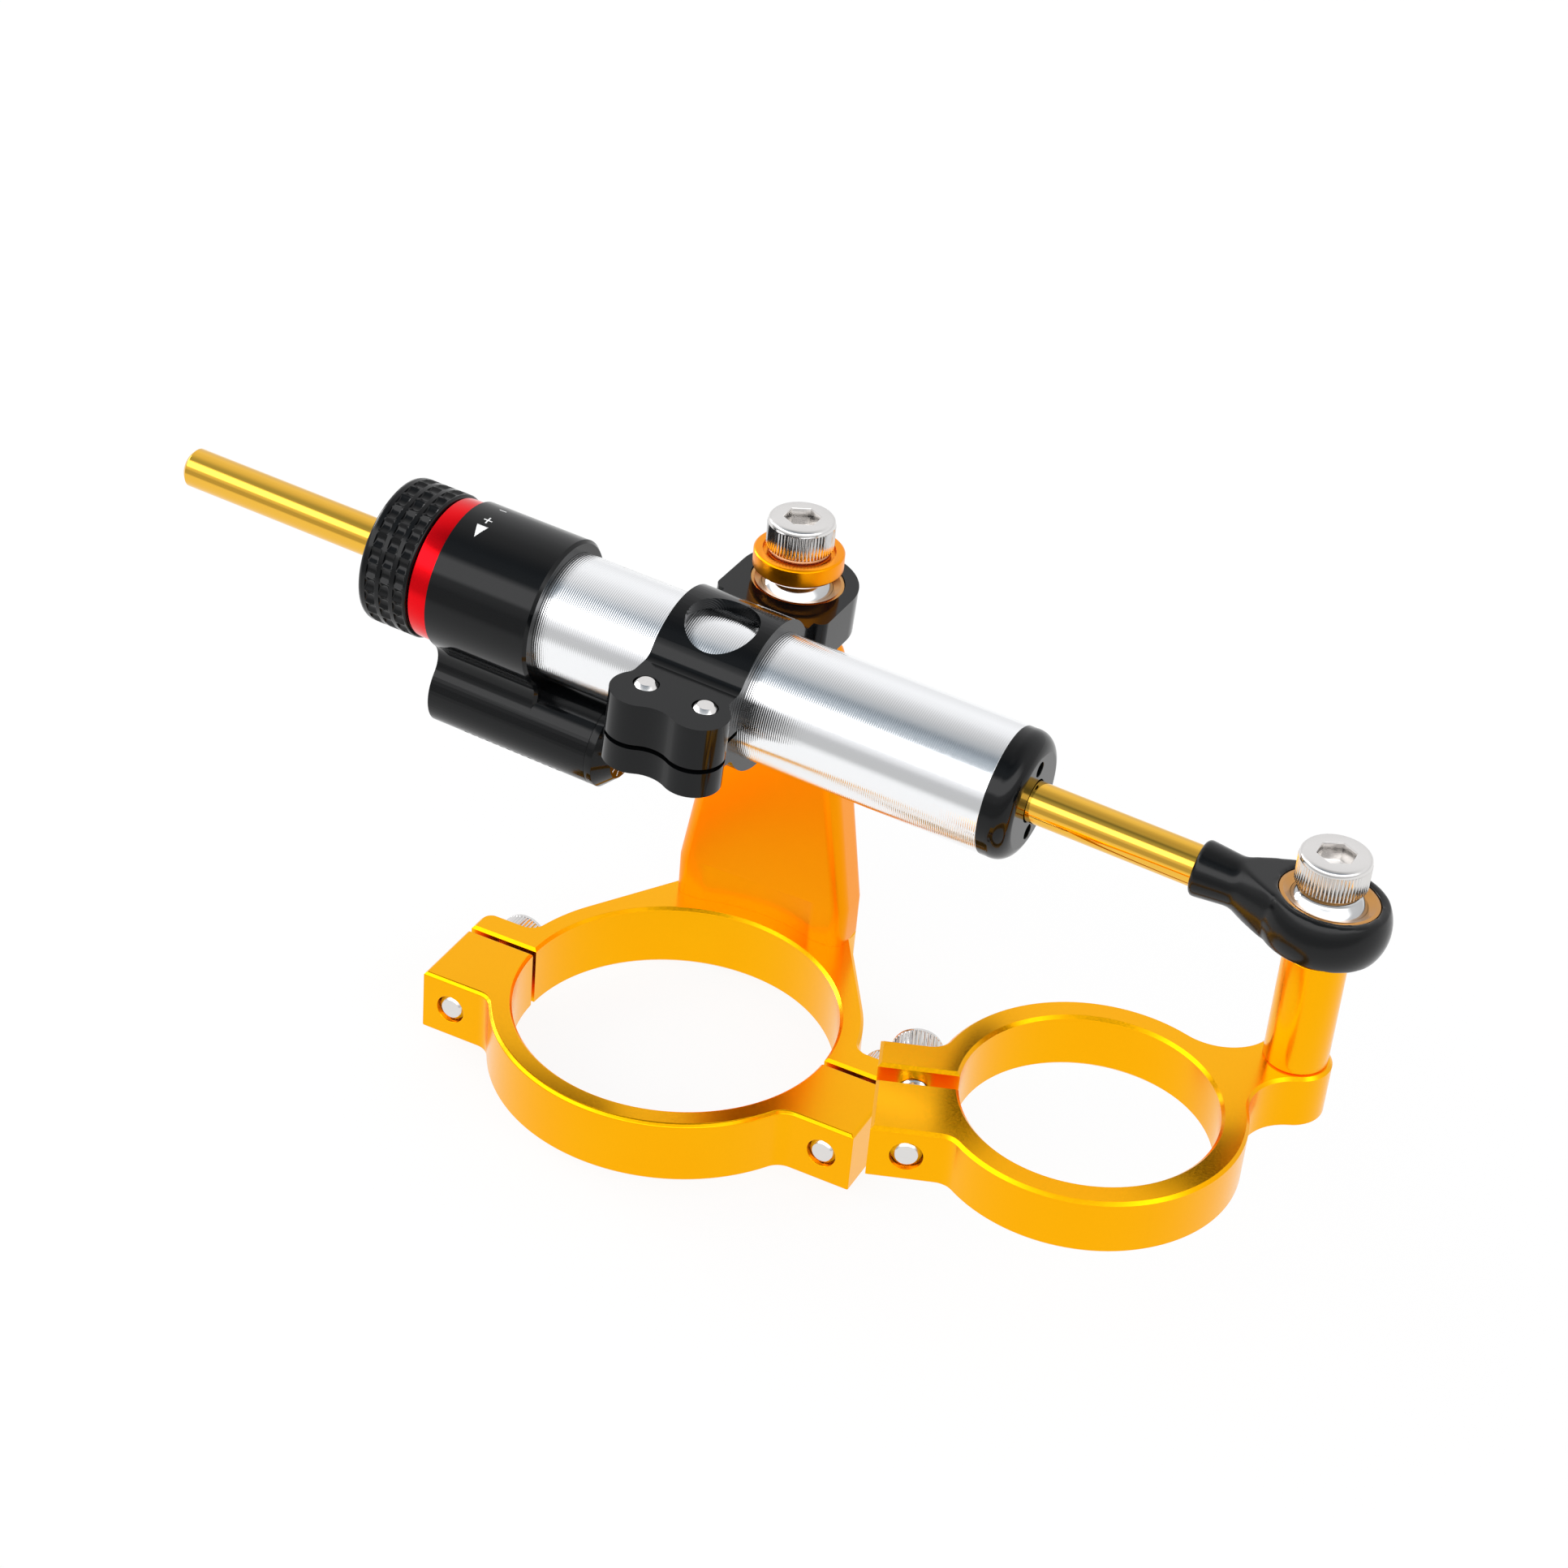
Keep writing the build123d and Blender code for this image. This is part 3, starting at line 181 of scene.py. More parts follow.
def addLines(mat, shader, lift, pitch, depth):
    # Turned lines: a sine wave along the piece's own UV length, scale = full turn / (20 pitch),
    # added to the grain's bump, with highlights stretched along the same UV map
    tree = mat.node_tree.nodes
    own = tree.new("ShaderNodeUVMap")
    own.uv_map = "turned"
    wave = tree.new("ShaderNodeTexWave")
    wave.wave_profile = "SIN"
    wave.bands_direction = "X"
    feed(mat, wave, {"Vector": own.outputs["UV"], "Scale": fullTurn / (20 * pitch),
                     "Distortion": 0.0})
    lines = tree.new("ShaderNodeBump")
    feed(mat, lines, {"Height": wave.outputs["Fac"], "Strength": 1.0, "Distance": depth,
                      "Normal": lift.outputs["Normal"]})
    tangent = tree.new("ShaderNodeTangent")
    tangent.direction_type = "UV_MAP"
    tangent.uv_map = "turned"
    feed(mat, shader, {"Normal": lines.outputs["Normal"], "Tangent": tangent.outputs["Tangent"]})


finishes = {}
for name, finish in finishSettings.items():
    middle = [(first + last) / 2 for first, last in zip(*finish["colors"])]
    mat, shader = newFinish(name, middle, finish["metallic"], sum(finish["rough"]) / 2,
                            finish.get("sockets", {}))
    lift = addGrain(mat, shader, finish)
    if "lines" in finish:
        addLines(mat, shader, lift, *finish["lines"])
    finishes[name] = mat
print("finishes made:", len(finishes))


def finishOf(slot):
    # Slot gold_anodised has the finish goldAnodised: each word after the first gets a capital
    first, *rest = slot.split("_")
    return finishes[first + "".join(word.capitalize() for word in rest)]


slotOfNode = {part["node"]: part["material_slot"] for part in frame["record"]["subparts"]}
finishOfNode = {nodeName: finishOf(slot) for nodeName, slot in slotOfNode.items()}
# The upright and the cup are a deeper gold than the clamps, and the rod end is a satin casting
finishOfNode.update(upright=finishes["deepGold"], cup_spacer=finishes["deepGold"],
                    rod_end=finishes["satinBlack"])
for nodeName, cadObject in nodes.items():
    cadObject.data.materials.clear()
    cadObject.data.materials.append(finishOfNode[nodeName])


def softCorners(points, radius):
    # Corner C becomes the curve (1-t)^2 A + 2t(1-t) C + t^2 B, where A and B lie on its two edges
    # at the radius from C, or at 0.45 of the shorter edge if that is less
    corner = np.asarray(points, float)
    toLast, toNext = np.roll(corner, 1, 0) - corner, np.roll(corner, -1, 0) - corner
    lastLength = np.linalg.norm(toLast, axis=1, keepdims=True)
    nextLength = np.linalg.norm(toNext, axis=1, keepdims=True)
    reach = np.minimum(radius, 0.45 * np.minimum(lastLength, nextLength))
    a, b = corner + toLast / lastLength * reach, corner + toNext / nextLength * reach
    t = np.linspace(0, 1, 4)[None, :, None]
    curve = (1 - t) ** 2 * a[:, None] + 2 * t * (1 - t) * corner[:, None] + t ** 2 * b[:, None]
    return curve.reshape(-1, 2)


def quadCorners(grid, closedRows, closedCols):
    # Value of the grid at (row, column), (row, next), (next row, next) and (next row, column).
    # A closed direction goes on from its last line to its first
    low = grid if closedRows else grid[:-1]
    high = np.roll(grid, -1, 0) if closedRows else grid[1:]
    corners = np.stack([low, np.roll(low, -1, 1), np.roll(high, -1, 1), high], 2)
    return corners if closedCols else corners[:, :-1]


def meshFromGrid(name, points, closedRows=True, closedCols=True, uv=None):
    # Grid of points (rows, columns, xyz) in millimetres, with quads between neighbours
    index = np.arange(points[..., 0].size).reshape(points.shape[:2])
    quads = quadCorners(index, closedRows, closedCols).reshape(-1, 4)
    mesh = bpy.data.meshes.new(name)
    mesh.from_pydata((points.reshape(-1, 3) * mm).tolist(), [], quads.tolist())
    if uv is not None:
        layer = mesh.uv_layers.new(name="turned")
        layer.data.foreach_set("uv", quadCorners(uv, closedRows, closedCols).ravel())
    return mesh


def ringPoints(origin, axis, side, stations, radii, cols):
    # P = origin + axis * station + (side cos a + (axis x side) sin a) * radius, a once round.
    # Stations and radii have a row for each ring, and one column or all of them
    angle = np.linspace(0, fullTurn, cols, endpoint=False)
    around = np.cos(angle)[:, None] * side + np.sin(angle)[:, None] * np.cross(axis, side)
    return origin + stations[..., None] * axis + radii[..., None] * around[None]


def finishPiece(mesh, name, finish, sharpDegrees=35.0):
    # Poles and seams merged, normals outwards, smooth shading broken at edges past sharpDegrees
    work = bmesh.new()
    work.from_mesh(mesh)
    bmesh.ops.remove_doubles(work, verts=work.verts, dist=mergeNew)
    bmesh.ops.recalc_face_normals(work, faces=work.faces)
    work.to_mesh(mesh)
    work.free()
    mesh.shade_smooth()
    mesh.set_sharp_from_angle(angle=math.radians(sharpDegrees))
    piece = bpy.data.objects.new(name, mesh)
    bpy.context.scene.collection.objects.link(piece)
    mesh.materials.append(finish)
    return piece


def joinMeshes(name, meshes):
    # One mesh that holds all the points and faces of the given ones, in their order
    work = bmesh.new()
    for mesh in meshes:
        work.from_mesh(mesh)
    whole = bpy.data.meshes.new(name)
    work.to_mesh(whole)
    work.free()
    return whole


def standFor(piece, nodeName):
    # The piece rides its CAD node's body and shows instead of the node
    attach(piece, nodes[nodeName]["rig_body"])
    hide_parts(nodeName)


def spunPiece(name, nodeName, origin, axis, side, outline, cols, sharpDegrees=35.0, uv=None):
    # Closed outline of (station, radius) points carried once round the axis
    points = ringPoints(origin, axis, side, outline[:, :1], outline[:, 1:], cols)
    mesh = meshFromGrid(name, points, uv=uv)
    standFor(finishPiece(mesh, name, finishOfNode[nodeName], sharpDegrees), nodeName)


def turnedPiece(name, nodeName, origin, axis, side, corners, cols, radius):
    # Outline of (station, radius) corners, softened and spun. Its UV map holds metres: u is the
    # station and v goes from 0 to uvRound once round
    outline = softCorners(corners, radius)
    travel = np.linspace(0, 1, cols)[None] * uvRound
    uv = np.stack(np.broadcast_arrays(outline[:, :1] * mm, travel), -1)
    spunPiece(name, nodeName, origin, axis, side, outline, cols, uv=uv)


# Cylinder tube, through-rod and red ring
# Each turned piece has "cols" columns round it and its corners softened by the radius "soft"
tube = {"start": 62.7, "end": 165.0, "inner": 11.0, "outer": 12.65, "cols": 160, "soft": 0.12}
turnedPiece("cylinderTube", "damper_tube", ballPoint, alongAxis, upAxis,
            [(tube["start"], tube["inner"]), (tube["end"], tube["inner"]),
             (tube["end"], tube["outer"]), (tube["start"], tube["outer"])],
            tube["cols"], tube["soft"])

rod = {"start": 12.6, "end": 243.5, "radius": 4.0, "chamfer": 0.8, "thread": 3.0,
       "threadEnd": 22.0, "threadChamfer": 0.5, "cols": 72, "soft": 0.12}
turnedPiece("throughRod", "damper_rod", ballPoint, alongAxis, upAxis,
            [(rod["start"], 0.0), (rod["end"], 0.0), (rod["end"], rod["radius"] - rod["chamfer"]),
             (rod["end"] - rod["chamfer"], rod["radius"]), (rod["threadEnd"], rod["radius"]),
             (rod["threadEnd"], rod["thread"]),
             (rod["start"] + rod["threadChamfer"], rod["thread"]),
             (rod["start"], rod["thread"] - rod["threadChamfer"])], rod["cols"], rod["soft"])

ring = {"start": 179.0, "end": 183.5, "inner": 10.02, "outer": 14.35, "edge": 0.3, "cols": 160,
        "soft": 0.1}
turnedPiece("redIndexRing", "index_ring", ballPoint, alongAxis, upAxis,
            [(ring["start"], ring["inner"]), (ring["end"], ring["inner"]),
             (ring["end"], ring["outer"] - ring["edge"]),
             (ring["end"] - ring["edge"], ring["outer"]),
             (ring["start"] + ring["edge"], ring["outer"]),
             (ring["start"], ring["outer"] - ring["edge"])], ring["cols"], ring["soft"])
print("tube, rod and ring made")

# Click knob: radius = round radius - depth * (1 - v^2) * sqrt(1 - u^8), with u along the knob and
# v round it, both from -1 to 1 across a scoop. "share" is how much of its pitch round the knob
# a scoop takes, and "rim" lists shares of the edge back from the face and in from the radius
knob = {"start": 183.7, "end": 194.7, "radius": 14.8, "depth": 0.58, "count": 30, "rows": 3,
        "scoop": 2.2, "first": 184.3, "pitch": 3.15, "share": 0.96, "edge": 1.0, "entry": 0.3,
        "rim": ((0.45, 0.2), (0.1, 0.75), (0.0, 1.15)), "bore": 10.04, "face": 7.5,
        "faceEdge": 0.15, "step": 192.0, "rings": 90, "colsPerScoop": 16, "sharpDegrees": 50.0}
along = np.concatenate([[knob["start"]], np.linspace(knob["start"] + knob["entry"],
                                                     knob["end"] - knob["edge"], knob["rings"])])
angle = np.linspace(0, fullTurn, knob["count"] * knob["colsPerScoop"], endpoint=False)
row = np.clip(np.floor((along - knob["first"]) / knob["pitch"]), 0, knob["rows"] - 1)
middle = knob["first"] + row * knob["pitch"] + knob["scoop"] / 2
u = (along - middle) / (knob["scoop"] / 2)
v = ((angle * knob["count"] / fullTurn) % 1.0 - 0.5) / (knob["share"] / 2)
bowl = np.sqrt(np.clip(1 - u ** 8, 0, 1))[:, None] * np.clip(1 - v ** 2, 0, 1)
outer = knob["radius"] - knob["depth"] * bowl
outer[0] = knob["radius"] - knob["entry"]
rim = [(knob["end"] - knob["edge"] * back, knob["radius"] - knob["edge"] * down)
       for back, down in knob["rim"]]
inside = np.array(rim + [(knob["end"], knob["face"] + knob["faceEdge"]),
                         (knob["end"] - knob["faceEdge"], knob["face"]),
                         (knob["step"], knob["face"]), (knob["step"], knob["bore"]),
                         (knob["start"], knob["bore"])])
stations = np.concatenate([along, inside[:, 0]])[:, None]
radii = np.vstack([outer, np.repeat(inside[:, 1:], len(angle), 1)])
knobPoints = ringPoints(ballPoint, alongAxis, upAxis, stations, radii, len(angle))
knobPiece = finishPiece(meshFromGrid("clickKnob", knobPoints), "clickKnob",
                        finishOfNode["adjuster_knob"], knob["sharpDegrees"])
standFor(knobPiece, "adjuster_knob")
print("knob made")

# Socket screws. Foot and tip list (up from the seat or the end, in from the radius), and crown
# (down from the top, in from the radius). Shares are of the head's height or of the key, and
# "short" is how far a screw ends before its hole does
screwShape = {"foot": ((0.0, 0.4), (0.35, 0.03)), "tip": ((0.0, 0.95), (0.15, 0.75), (0.75, 0.2)),
              "crown": ((1.4, 0.0), (1.2, 0.1), (0.85, 0.12), (0.5, 0.22), (0.22, 0.45),
                        (0.06, 0.75), (0.0, 1.05)),
              "mouthDepth": 0.3, "mouthShare": 1.05, "floorShare": 0.45, "pointShare": 0.38,
              "drillShare": 0.48, "gap": 0.02, "shankEnd": 0.8, "short": 0.3, "ridgeSlope": 1.3,
              "colsPerRidge": 6, "ringsPerPitch": 6, "sharpDegrees": 28.0}
m8 = {"radius": 4.0, "headRadius": 6.65, "head": 6.4, "key": 6.2, "ridges": 56, "knurl": 0.45,
      "pitch": 1.25, "thread": 0.0}
m6 = {"radius": 3.0, "headRadius": 5.0, "head": 6.0, "key": 5.0, "ridges": 44, "knurl": 0.24,
      "pitch": 1.0, "thread": 0.42}
m5 = {"radius": 2.5, "headRadius": 4.25, "head": 3.5, "key": 3.0, "ridges": 38, "knurl": 0.2,
      "pitch": 0.8, "thread": 0.35}


def socketScrewMesh(name, seat, axis, side, screw, length):
    # Head: knurl radius = r - knurl * |ridge wave|, hex radius = half key / cos(angle to the
    # nearest flat's middle). Shank: radius = r - thread * |triangle wave of (turn + pitches)|
    s, top, key = screwShape, screw["head"], screw["key"]
    cols = screw["ridges"] * s["colsPerRidge"]
    angle = np.linspace(0, fullTurn, cols, endpoint=False)
    plain = np.ones(cols)
    hexagon = key / 2 / np.cos((angle + np.pi / 6) % (np.pi / 3) - np.pi / 6)
    ridge = np.abs(((angle * screw["ridges"] / fullTurn) % 1.0) * 2 - 1)
    knurl = 1 - (screw["knurl"] / screw["headRadius"]) * np.clip(s["ridgeSlope"] * ridge, 0, 1)
    foot, crown, tip = np.array(s["foot"]), np.array(s["crown"]), np.array(s["tip"])
    headStations = np.concatenate([foot[:, 0], top - crown[:, 0]])
    inward = np.concatenate([foot[:, 1], crown[:, 1]])[:, None]
    headRadii = (screw["headRadius"] - inward) * plain
    headRadii[1:3] *= knurl
    socketStations = [top, top - s["mouthDepth"], top * s["floorShare"], top * s["floorShare"],
                      top * s["pointShare"]]
    socketRadii = [hexagon * s["mouthShare"], hexagon, hexagon,
                   np.minimum(hexagon, key * s["drillShare"]), 0 * plain]
    rings = int(length / screw["pitch"] * s["ringsPerPitch"]) if screw["thread"] else 2
    shank = np.linspace(-length + s["shankEnd"], -s["gap"], rings)
    phase = (shank[:, None] / screw["pitch"] + angle / fullTurn) % 1.0
    shankRadii = screw["radius"] - s["gap"] - screw["thread"] * np.abs(2 * phase - 1)
    endStations = np.concatenate([[-length], tip[:, 0] - length])
    endRadii = np.vstack([0 * plain, (screw["radius"] - tip[:, 1:]) * plain])
    stations = np.concatenate([endStations, shank, headStations, socketStations])[:, None]
    radii = np.vstack([endRadii, shankRadii, headRadii, socketRadii])
    points = ringPoints(np.asarray(seat, float), axis, side, stations, radii, cols)
    return meshFromGrid(name, points, closedRows=False)


def screwPiece(name, nodeName, seats, axis, side, screw, length):
    # One screw on each seat, its head along the axis, joined as one piece
    meshes = [socketScrewMesh(name + str(i), seat, axis, side, screw, length)
              for i, seat in enumerate(seats)]
    piece = finishPiece(joinMeshes(name, meshes), name, finishOfNode[nodeName],
                        screwShape["sharpDegrees"])
    standFor(piece, nodeName)


jointBall = {"radius": 7.9375, "half": 7.4, "neck": 5.4, "blend": 1.5, "bore": 4.04,
             "edge": 0.2, "arcPoints": 33, "blendPoints": 9, "cols": 96, "sharpDegrees": 30.0}
# A race's rim is (back from the face, radius), and its mouth slopes inwards over "slope"
race = {"half": 4.5, "slope": 0.75, "hollow": 7.9875,
        "rim": ((0.0, 8.5), (0.0, 8.95), (0.08, 9.17), (0.3, 9.25)), "hollowPoints": 17,
        "cols": 96, "sharpDegrees": 25.0}


def ballPiece(name, nodeName, centre):
    # Sphere arc, then on each side a hollow arc of radius blend that touches both the sphere and
    # the neck, and a bore through: the arcs' centres are at (+-blendAt, neck + blend)
    b = jointBall
    height = b["neck"] + b["blend"]
    blendAt = math.sqrt((b["radius"] + b["blend"]) ** 2 - height ** 2)
    lean = math.atan2(height, blendAt)
    arc = np.linspace(lean, math.pi - lean, b["arcPoints"])
    sphere = np.stack([b["radius"] * np.cos(arc), b["radius"] * np.sin(arc)], 1)
    bend = np.linspace(1.5 * math.pi, math.pi + lean, b["blendPoints"])[:-1]
    right = np.stack([blendAt + b["blend"] * np.cos(bend), height + b["blend"] * np.sin(bend)], 1)
    left = (right * [-1, 1])[::-1]
    face = [(b["half"], b["bore"]), (b["half"], b["neck"] - b["edge"]),
            (b["half"] - b["edge"], b["neck"])]
    farFace = np.array(face)[::-1] * [-1, 1]
    outline = np.vstack([farFace[2:], face, right, sphere, left, farFace[:2]])
    spunPiece(name, nodeName, centre, zAxis, xAxis, outline, b["cols"], b["sharpDegrees"])


def racePiece(name, nodeName, centre, axis, side):
    # Ring whose bore follows the ball, radius = sqrt(hollow^2 - station^2), below a wide mouth
    reach = race["half"] - race["slope"]
    across = np.linspace(-reach, reach, race["hollowPoints"])
    hollow = np.stack([across, np.sqrt(race["hollow"] ** 2 - across ** 2)], 1)
    rim = np.array([(race["half"] - back, radius) for back, radius in race["rim"]])
    outline = np.vstack([rim[:1] * [-1, 1], hollow, rim, rim[:0:-1] * [-1, 1]])
    spunPiece(name, nodeName, centre, axis, side, outline, race["cols"], race["sharpDegrees"])


ballPiece("pivotBall", "ear_ball", pivotPoint)
ballPiece("rodEndBall", "rod_end_ball", ballPoint)
racePiece("pivotRace", "ear_race", pivotPoint, upAxis, rearAxis)
racePiece("rodEndRace", "rod_end_race", ballPoint, eyeAxis, alongAxis)

# Cup, washer and bolt on the pivot ball
cup = {"radius": 8.9, "well": 7.1, "bore": 4.2, "floor": 3.0, "rim": 1.0, "edge": 0.35,
       "foot": 0.5, "cols": 112, "soft": 0.12}
washer = {"radius": 6.2, "bore": 4.2, "thick": 1.65, "cols": 96, "soft": 0.6}
pivotHole = {"top": 80.5, "depth": 17.0}
pivotLine = np.array([pivotPoint[0], pivotPoint[1], 0.0])
cupBase = pivotPoint[2] + jointBall["half"]
cupFloor = cupBase + cup["floor"]
cupTop = cupFloor + cup["rim"]
washerTop = cupFloor + washer["thick"]
turnedPiece("cupSpacer", "cup_spacer", pivotLine, zAxis, xAxis,
            [(cupBase, cup["bore"]), (cupFloor, cup["bore"]), (cupFloor, cup["well"]),
             (cupTop, cup["well"]), (cupTop, cup["radius"] - cup["edge"]),
             (cupTop - cup["edge"], cup["radius"]), (cupBase + cup["foot"], cup["radius"]),
             (cupBase, cup["radius"] - cup["foot"])], cup["cols"], cup["soft"])
turnedPiece("pivotWasher", "pivot_washer", pivotLine, zAxis, xAxis,
            [(cupFloor, washer["bore"]), (washerTop, washer["bore"]),
             (washerTop, washer["radius"]), (cupFloor, washer["radius"])],
            washer["cols"], washer["soft"])
screwPiece("pivotBolt", "pivot_bolt", [pivotLine + zAxis * washerTop], zAxis, xAxis, m8,
           washerTop - pivotHole["top"] + pivotHole["depth"] - screwShape["short"])

# Post and bolt on the rod-end ball, down to the frame clamp
post = {"radius": 6.0, "length": 24.0, "bore": 4.2, "gap": 0.01, "edge": 0.4, "footEdge": 0.25,
        "cols": 96, "soft": 0.12}
frameClamp = {"turnDegrees": 21.2, "earX": 37.1, "earY": 19.7, "screwX": 31.4, "lugRear": 9.7,
             "lugFront": 15.5, "height": 11.3, "boltRecess": 1.1}
postLine = np.array([ballPoint[0], ballPoint[1], 0.0])
postTop = ballPoint[2] - jointBall["half"] - post["gap"]
postBase = postTop - post["length"]
frameBase = postBase - frameClamp["height"]
boltSeat = ballPoint[2] + jointBall["half"]
turnedPiece("spacerPost", "rod_end_post", postLine, zAxis, xAxis,
            [(postBase, post["bore"]), (postTop, post["bore"]),
             (postTop, post["radius"] - post["edge"]), (postTop - post["edge"], post["radius"]),
             (postBase + post["footEdge"], post["radius"]),
             (postBase, post["radius"] - post["footEdge"])], post["cols"], post["soft"])
screwPiece("rodEndBolt", "rod_end_bolt", [postLine + zAxis * boltSeat], zAxis, xAxis, m8,
           boltSeat - frameBase - frameClamp["boltRecess"])
print("ball joints and bolts made")

forkClamp = {"screwX": 41.4, "lugRear": 6.7, "lugFront": 17.7, "height": 13.8}
screwPiece("forkClampScrews", "big_clamp_screws",
           [(hand * forkClamp["screwX"], forkClamp["lugRear"], forkClamp["height"] / 2)
            for hand in (-1, 1)],
           yAxis, xAxis, m6, forkClamp["lugRear"] + forkClamp["lugFront"] - screwShape["short"])

frameTurn = math.radians(frameClamp["turnDegrees"])
frameX = np.array([math.cos(frameTurn), math.sin(frameTurn), 0.0])
frameY = np.array([-math.sin(frameTurn), math.cos(frameTurn), 0.0])
frameCentre = (np.array([ballPoint[0], ballPoint[1], frameBase]) - frameClamp["earX"] * frameX
               - frameClamp["earY"] * frameY)
screwPiece("frameClampScrew", "small_clamp_screw",
           [frameCentre - frameX * frameClamp["screwX"] + frameY * frameClamp["lugRear"]
            + zAxis * frameClamp["height"] / 2],
           frameY, frameX, m6, frameClamp["lugRear"] + frameClamp["lugFront"] - screwShape["short"])

# The pinch clamp's middle is level with the pivot, and its screws point up
pinch = {"reach": 21.15, "spread": 6.2, "shift": 0.5, "seat": 3.8, "length": 11.8}
pinchMiddle = float((pivotPoint - ballPoint) @ alongAxis)
pinchSeats = [ballPoint + alongAxis * (pinchMiddle - pinch["shift"] - hand * pinch["spread"])
              - rearAxis * pinch["reach"] - upAxis * pinch["seat"] for hand in (-1, 1)]
screwPiece("pinchScrews", "damper_clamp_screws", pinchSeats, -upAxis, alongAxis, m5,
           pinch["length"])
print("clamp screws made")

# Blocks that are copies of their CAD nodes. A width of 0 marks the cast rod end
blocks = {"forkClampFront": ("big_clamp_front", 0.14), "forkClampRear": ("big_clamp_rear", 0.14),
          "uprightPlate": ("upright", 0.15), "frameClamp": ("small_clamp", 0.14),
          "pinchClamp": ("damper_clamp", 0.3), "headBlock": ("head_body", 0.15),
          "capDome": ("end_cap", 0.12), "rodEndEye": ("rod_end", 0)}
edges = {"sharpDegrees": 30.0, "flatDegrees": 0.5, "segments": 3}
casting = {"voxel": 0.3, "softness": 0.5, "rounds": 14}


def blockPiece(name, nodeName, width):
    # A merged copy of the CAD node. Machined: flat triangles joined, edges rounded by the width,
    # flats with flat normals. Cast: a skin of voxels whose points move halfway to the mean of
    # their neighbours, round after round
    mesh = nodes[nodeName].data.copy()
    mesh.name = name
    work = bmesh.new()
    work.from_mesh(mesh)
    bmesh.ops.remove_doubles(work, verts=work.verts, dist=mergeCopied)
    if width:
        bmesh.ops.dissolve_limit(work, angle_limit=math.radians(edges["flatDegrees"]),
                                 verts=work.verts, edges=work.edges, delimit={"NORMAL"})
    work.to_mesh(mesh)
    work.free()
    mesh.shade_smooth()
    mesh.set_sharp_from_angle(angle=math.radians(edges["sharpDegrees"]))
    piece = bpy.data.objects.new(name, mesh)
    bpy.context.scene.collection.objects.link(piece)
    if width:
        edge = piece.modifiers.new("fineRound", "BEVEL")
        edge.width = width * mm
        edge.segments = edges["segments"]
        edge.limit_method = "ANGLE"
        edge.angle_limit = math.radians(edges["sharpDegrees"])
        flats = piece.modifiers.new("flatNormals", "WEIGHTED_NORMAL")
        flats.keep_sharp = True
    else:
        skin = piece.modifiers.new("castSkin", "REMESH")
        skin.mode = "VOXEL"
        skin.voxel_size = casting["voxel"] * mm
        skin.use_smooth_shade = True
        soft = piece.modifiers.new("castSoftness", "SMOOTH")
        soft.factor = casting["softness"]
        soft.iterations = casting["rounds"]
    mesh.materials.clear()
    mesh.materials.append(finishOfNode[nodeName])
    standFor(piece, nodeName)
    print("block made:", name)


for name, (nodeName, width) in blocks.items():
    blockPiece(name, nodeName, width)

# Reservoir end: the head block's mouth, its points below station "mouth" and close to the
# reservoir's axis, moves up the bore by "shift", and a shorter dial with white ticks closes it.
# A tick is its inner and outer radius and half its width
dial = {"mouth": 141.0, "margin": 0.1, "shift": 4.1, "face": 139.2, "chamfer": 2.8,
        "seam": 143.6, "gap": 0.02, "radius": 8.7, "spigot": 6.44, "end": 145.5, "hole": 1.5,
        "ticks": 12, "tick": (4.3, 5.4, 0.16), "tickDepth": 0.03, "cols": 128, "soft": 0.12}
needle = {"radius": 1.35, "recess": 0.5, "tip": 151.0, "taper": 3.0, "point": 0.3, "cols": 48,
          "soft": 0.05}
block = bpy.data.objects["headBlock"].data
place = np.empty(len(block.vertices) * 3)
block.vertices.foreach_get("co", place)
place = place.reshape(-1, 3) / mm
station = (place - ballPoint) @ alongAxis
fromAxis = np.linalg.norm(np.cross(place - reservoirPoint, alongAxis), axis=1)
mouth = (station < dial["mouth"]) & (fromAxis < dial["radius"] + dial["margin"])
place[mouth] += alongAxis * dial["shift"]
block.vertices.foreach_set("co", (place * mm).ravel())
block.update()
turnedPiece("reservoirDial", "reservoir_dial", reservoirPoint, alongAxis, upAxis,
            [(dial["face"], dial["hole"]), (dial["face"], dial["radius"] - dial["chamfer"]),
             (dial["face"] + dial["chamfer"], dial["radius"]),
             (dial["seam"] - dial["gap"], dial["radius"]),
             (dial["seam"] - dial["gap"], dial["spigot"]), (dial["end"], dial["spigot"]),
             (dial["end"], dial["hole"])], dial["cols"], dial["soft"])
turnedPiece("bleedNeedle", "reservoir_needle", reservoirPoint, alongAxis, upAxis,
            [(dial["face"] + needle["recess"], 0.0),
             (dial["face"] + needle["recess"], needle["radius"]),
             (needle["tip"] - needle["taper"], needle["radius"]),
             (needle["tip"], needle["point"]), (needle["tip"], 0.0)],
            needle["cols"], needle["soft"])

# Corner of a tick = face middle + outward direction * reach + direction across it * hand
tickIn, tickOut, tickHalf = dial["tick"]
turn = np.arange(dial["ticks"])[:, None, None] * fullTurn / dial["ticks"]
outward = np.cos(turn) * upAxis - np.sin(turn) * rearAxis
reach, hand = np.array([(tickIn, -tickHalf), (tickOut, -tickHalf), (tickOut, tickHalf),
                        (tickIn, tickHalf)]).T[:, :, None]
tickPoints = (reservoirPoint + alongAxis * (dial["face"] - dial["tickDepth"])
              + outward * reach + np.cross(alongAxis, outward) * hand)
tickMesh = bpy.data.meshes.new("dialTicks")
tickMesh.from_pydata((tickPoints.reshape(-1, 3) * mm).tolist(), [],
                     np.arange(4 * dial["ticks"]).reshape(-1, 4).tolist())
dialTicks = finishPiece(tickMesh, "dialTicks", finishes["whitePaint"])
ink = dialTicks.modifiers.new("inkDepth", "SOLIDIFY")
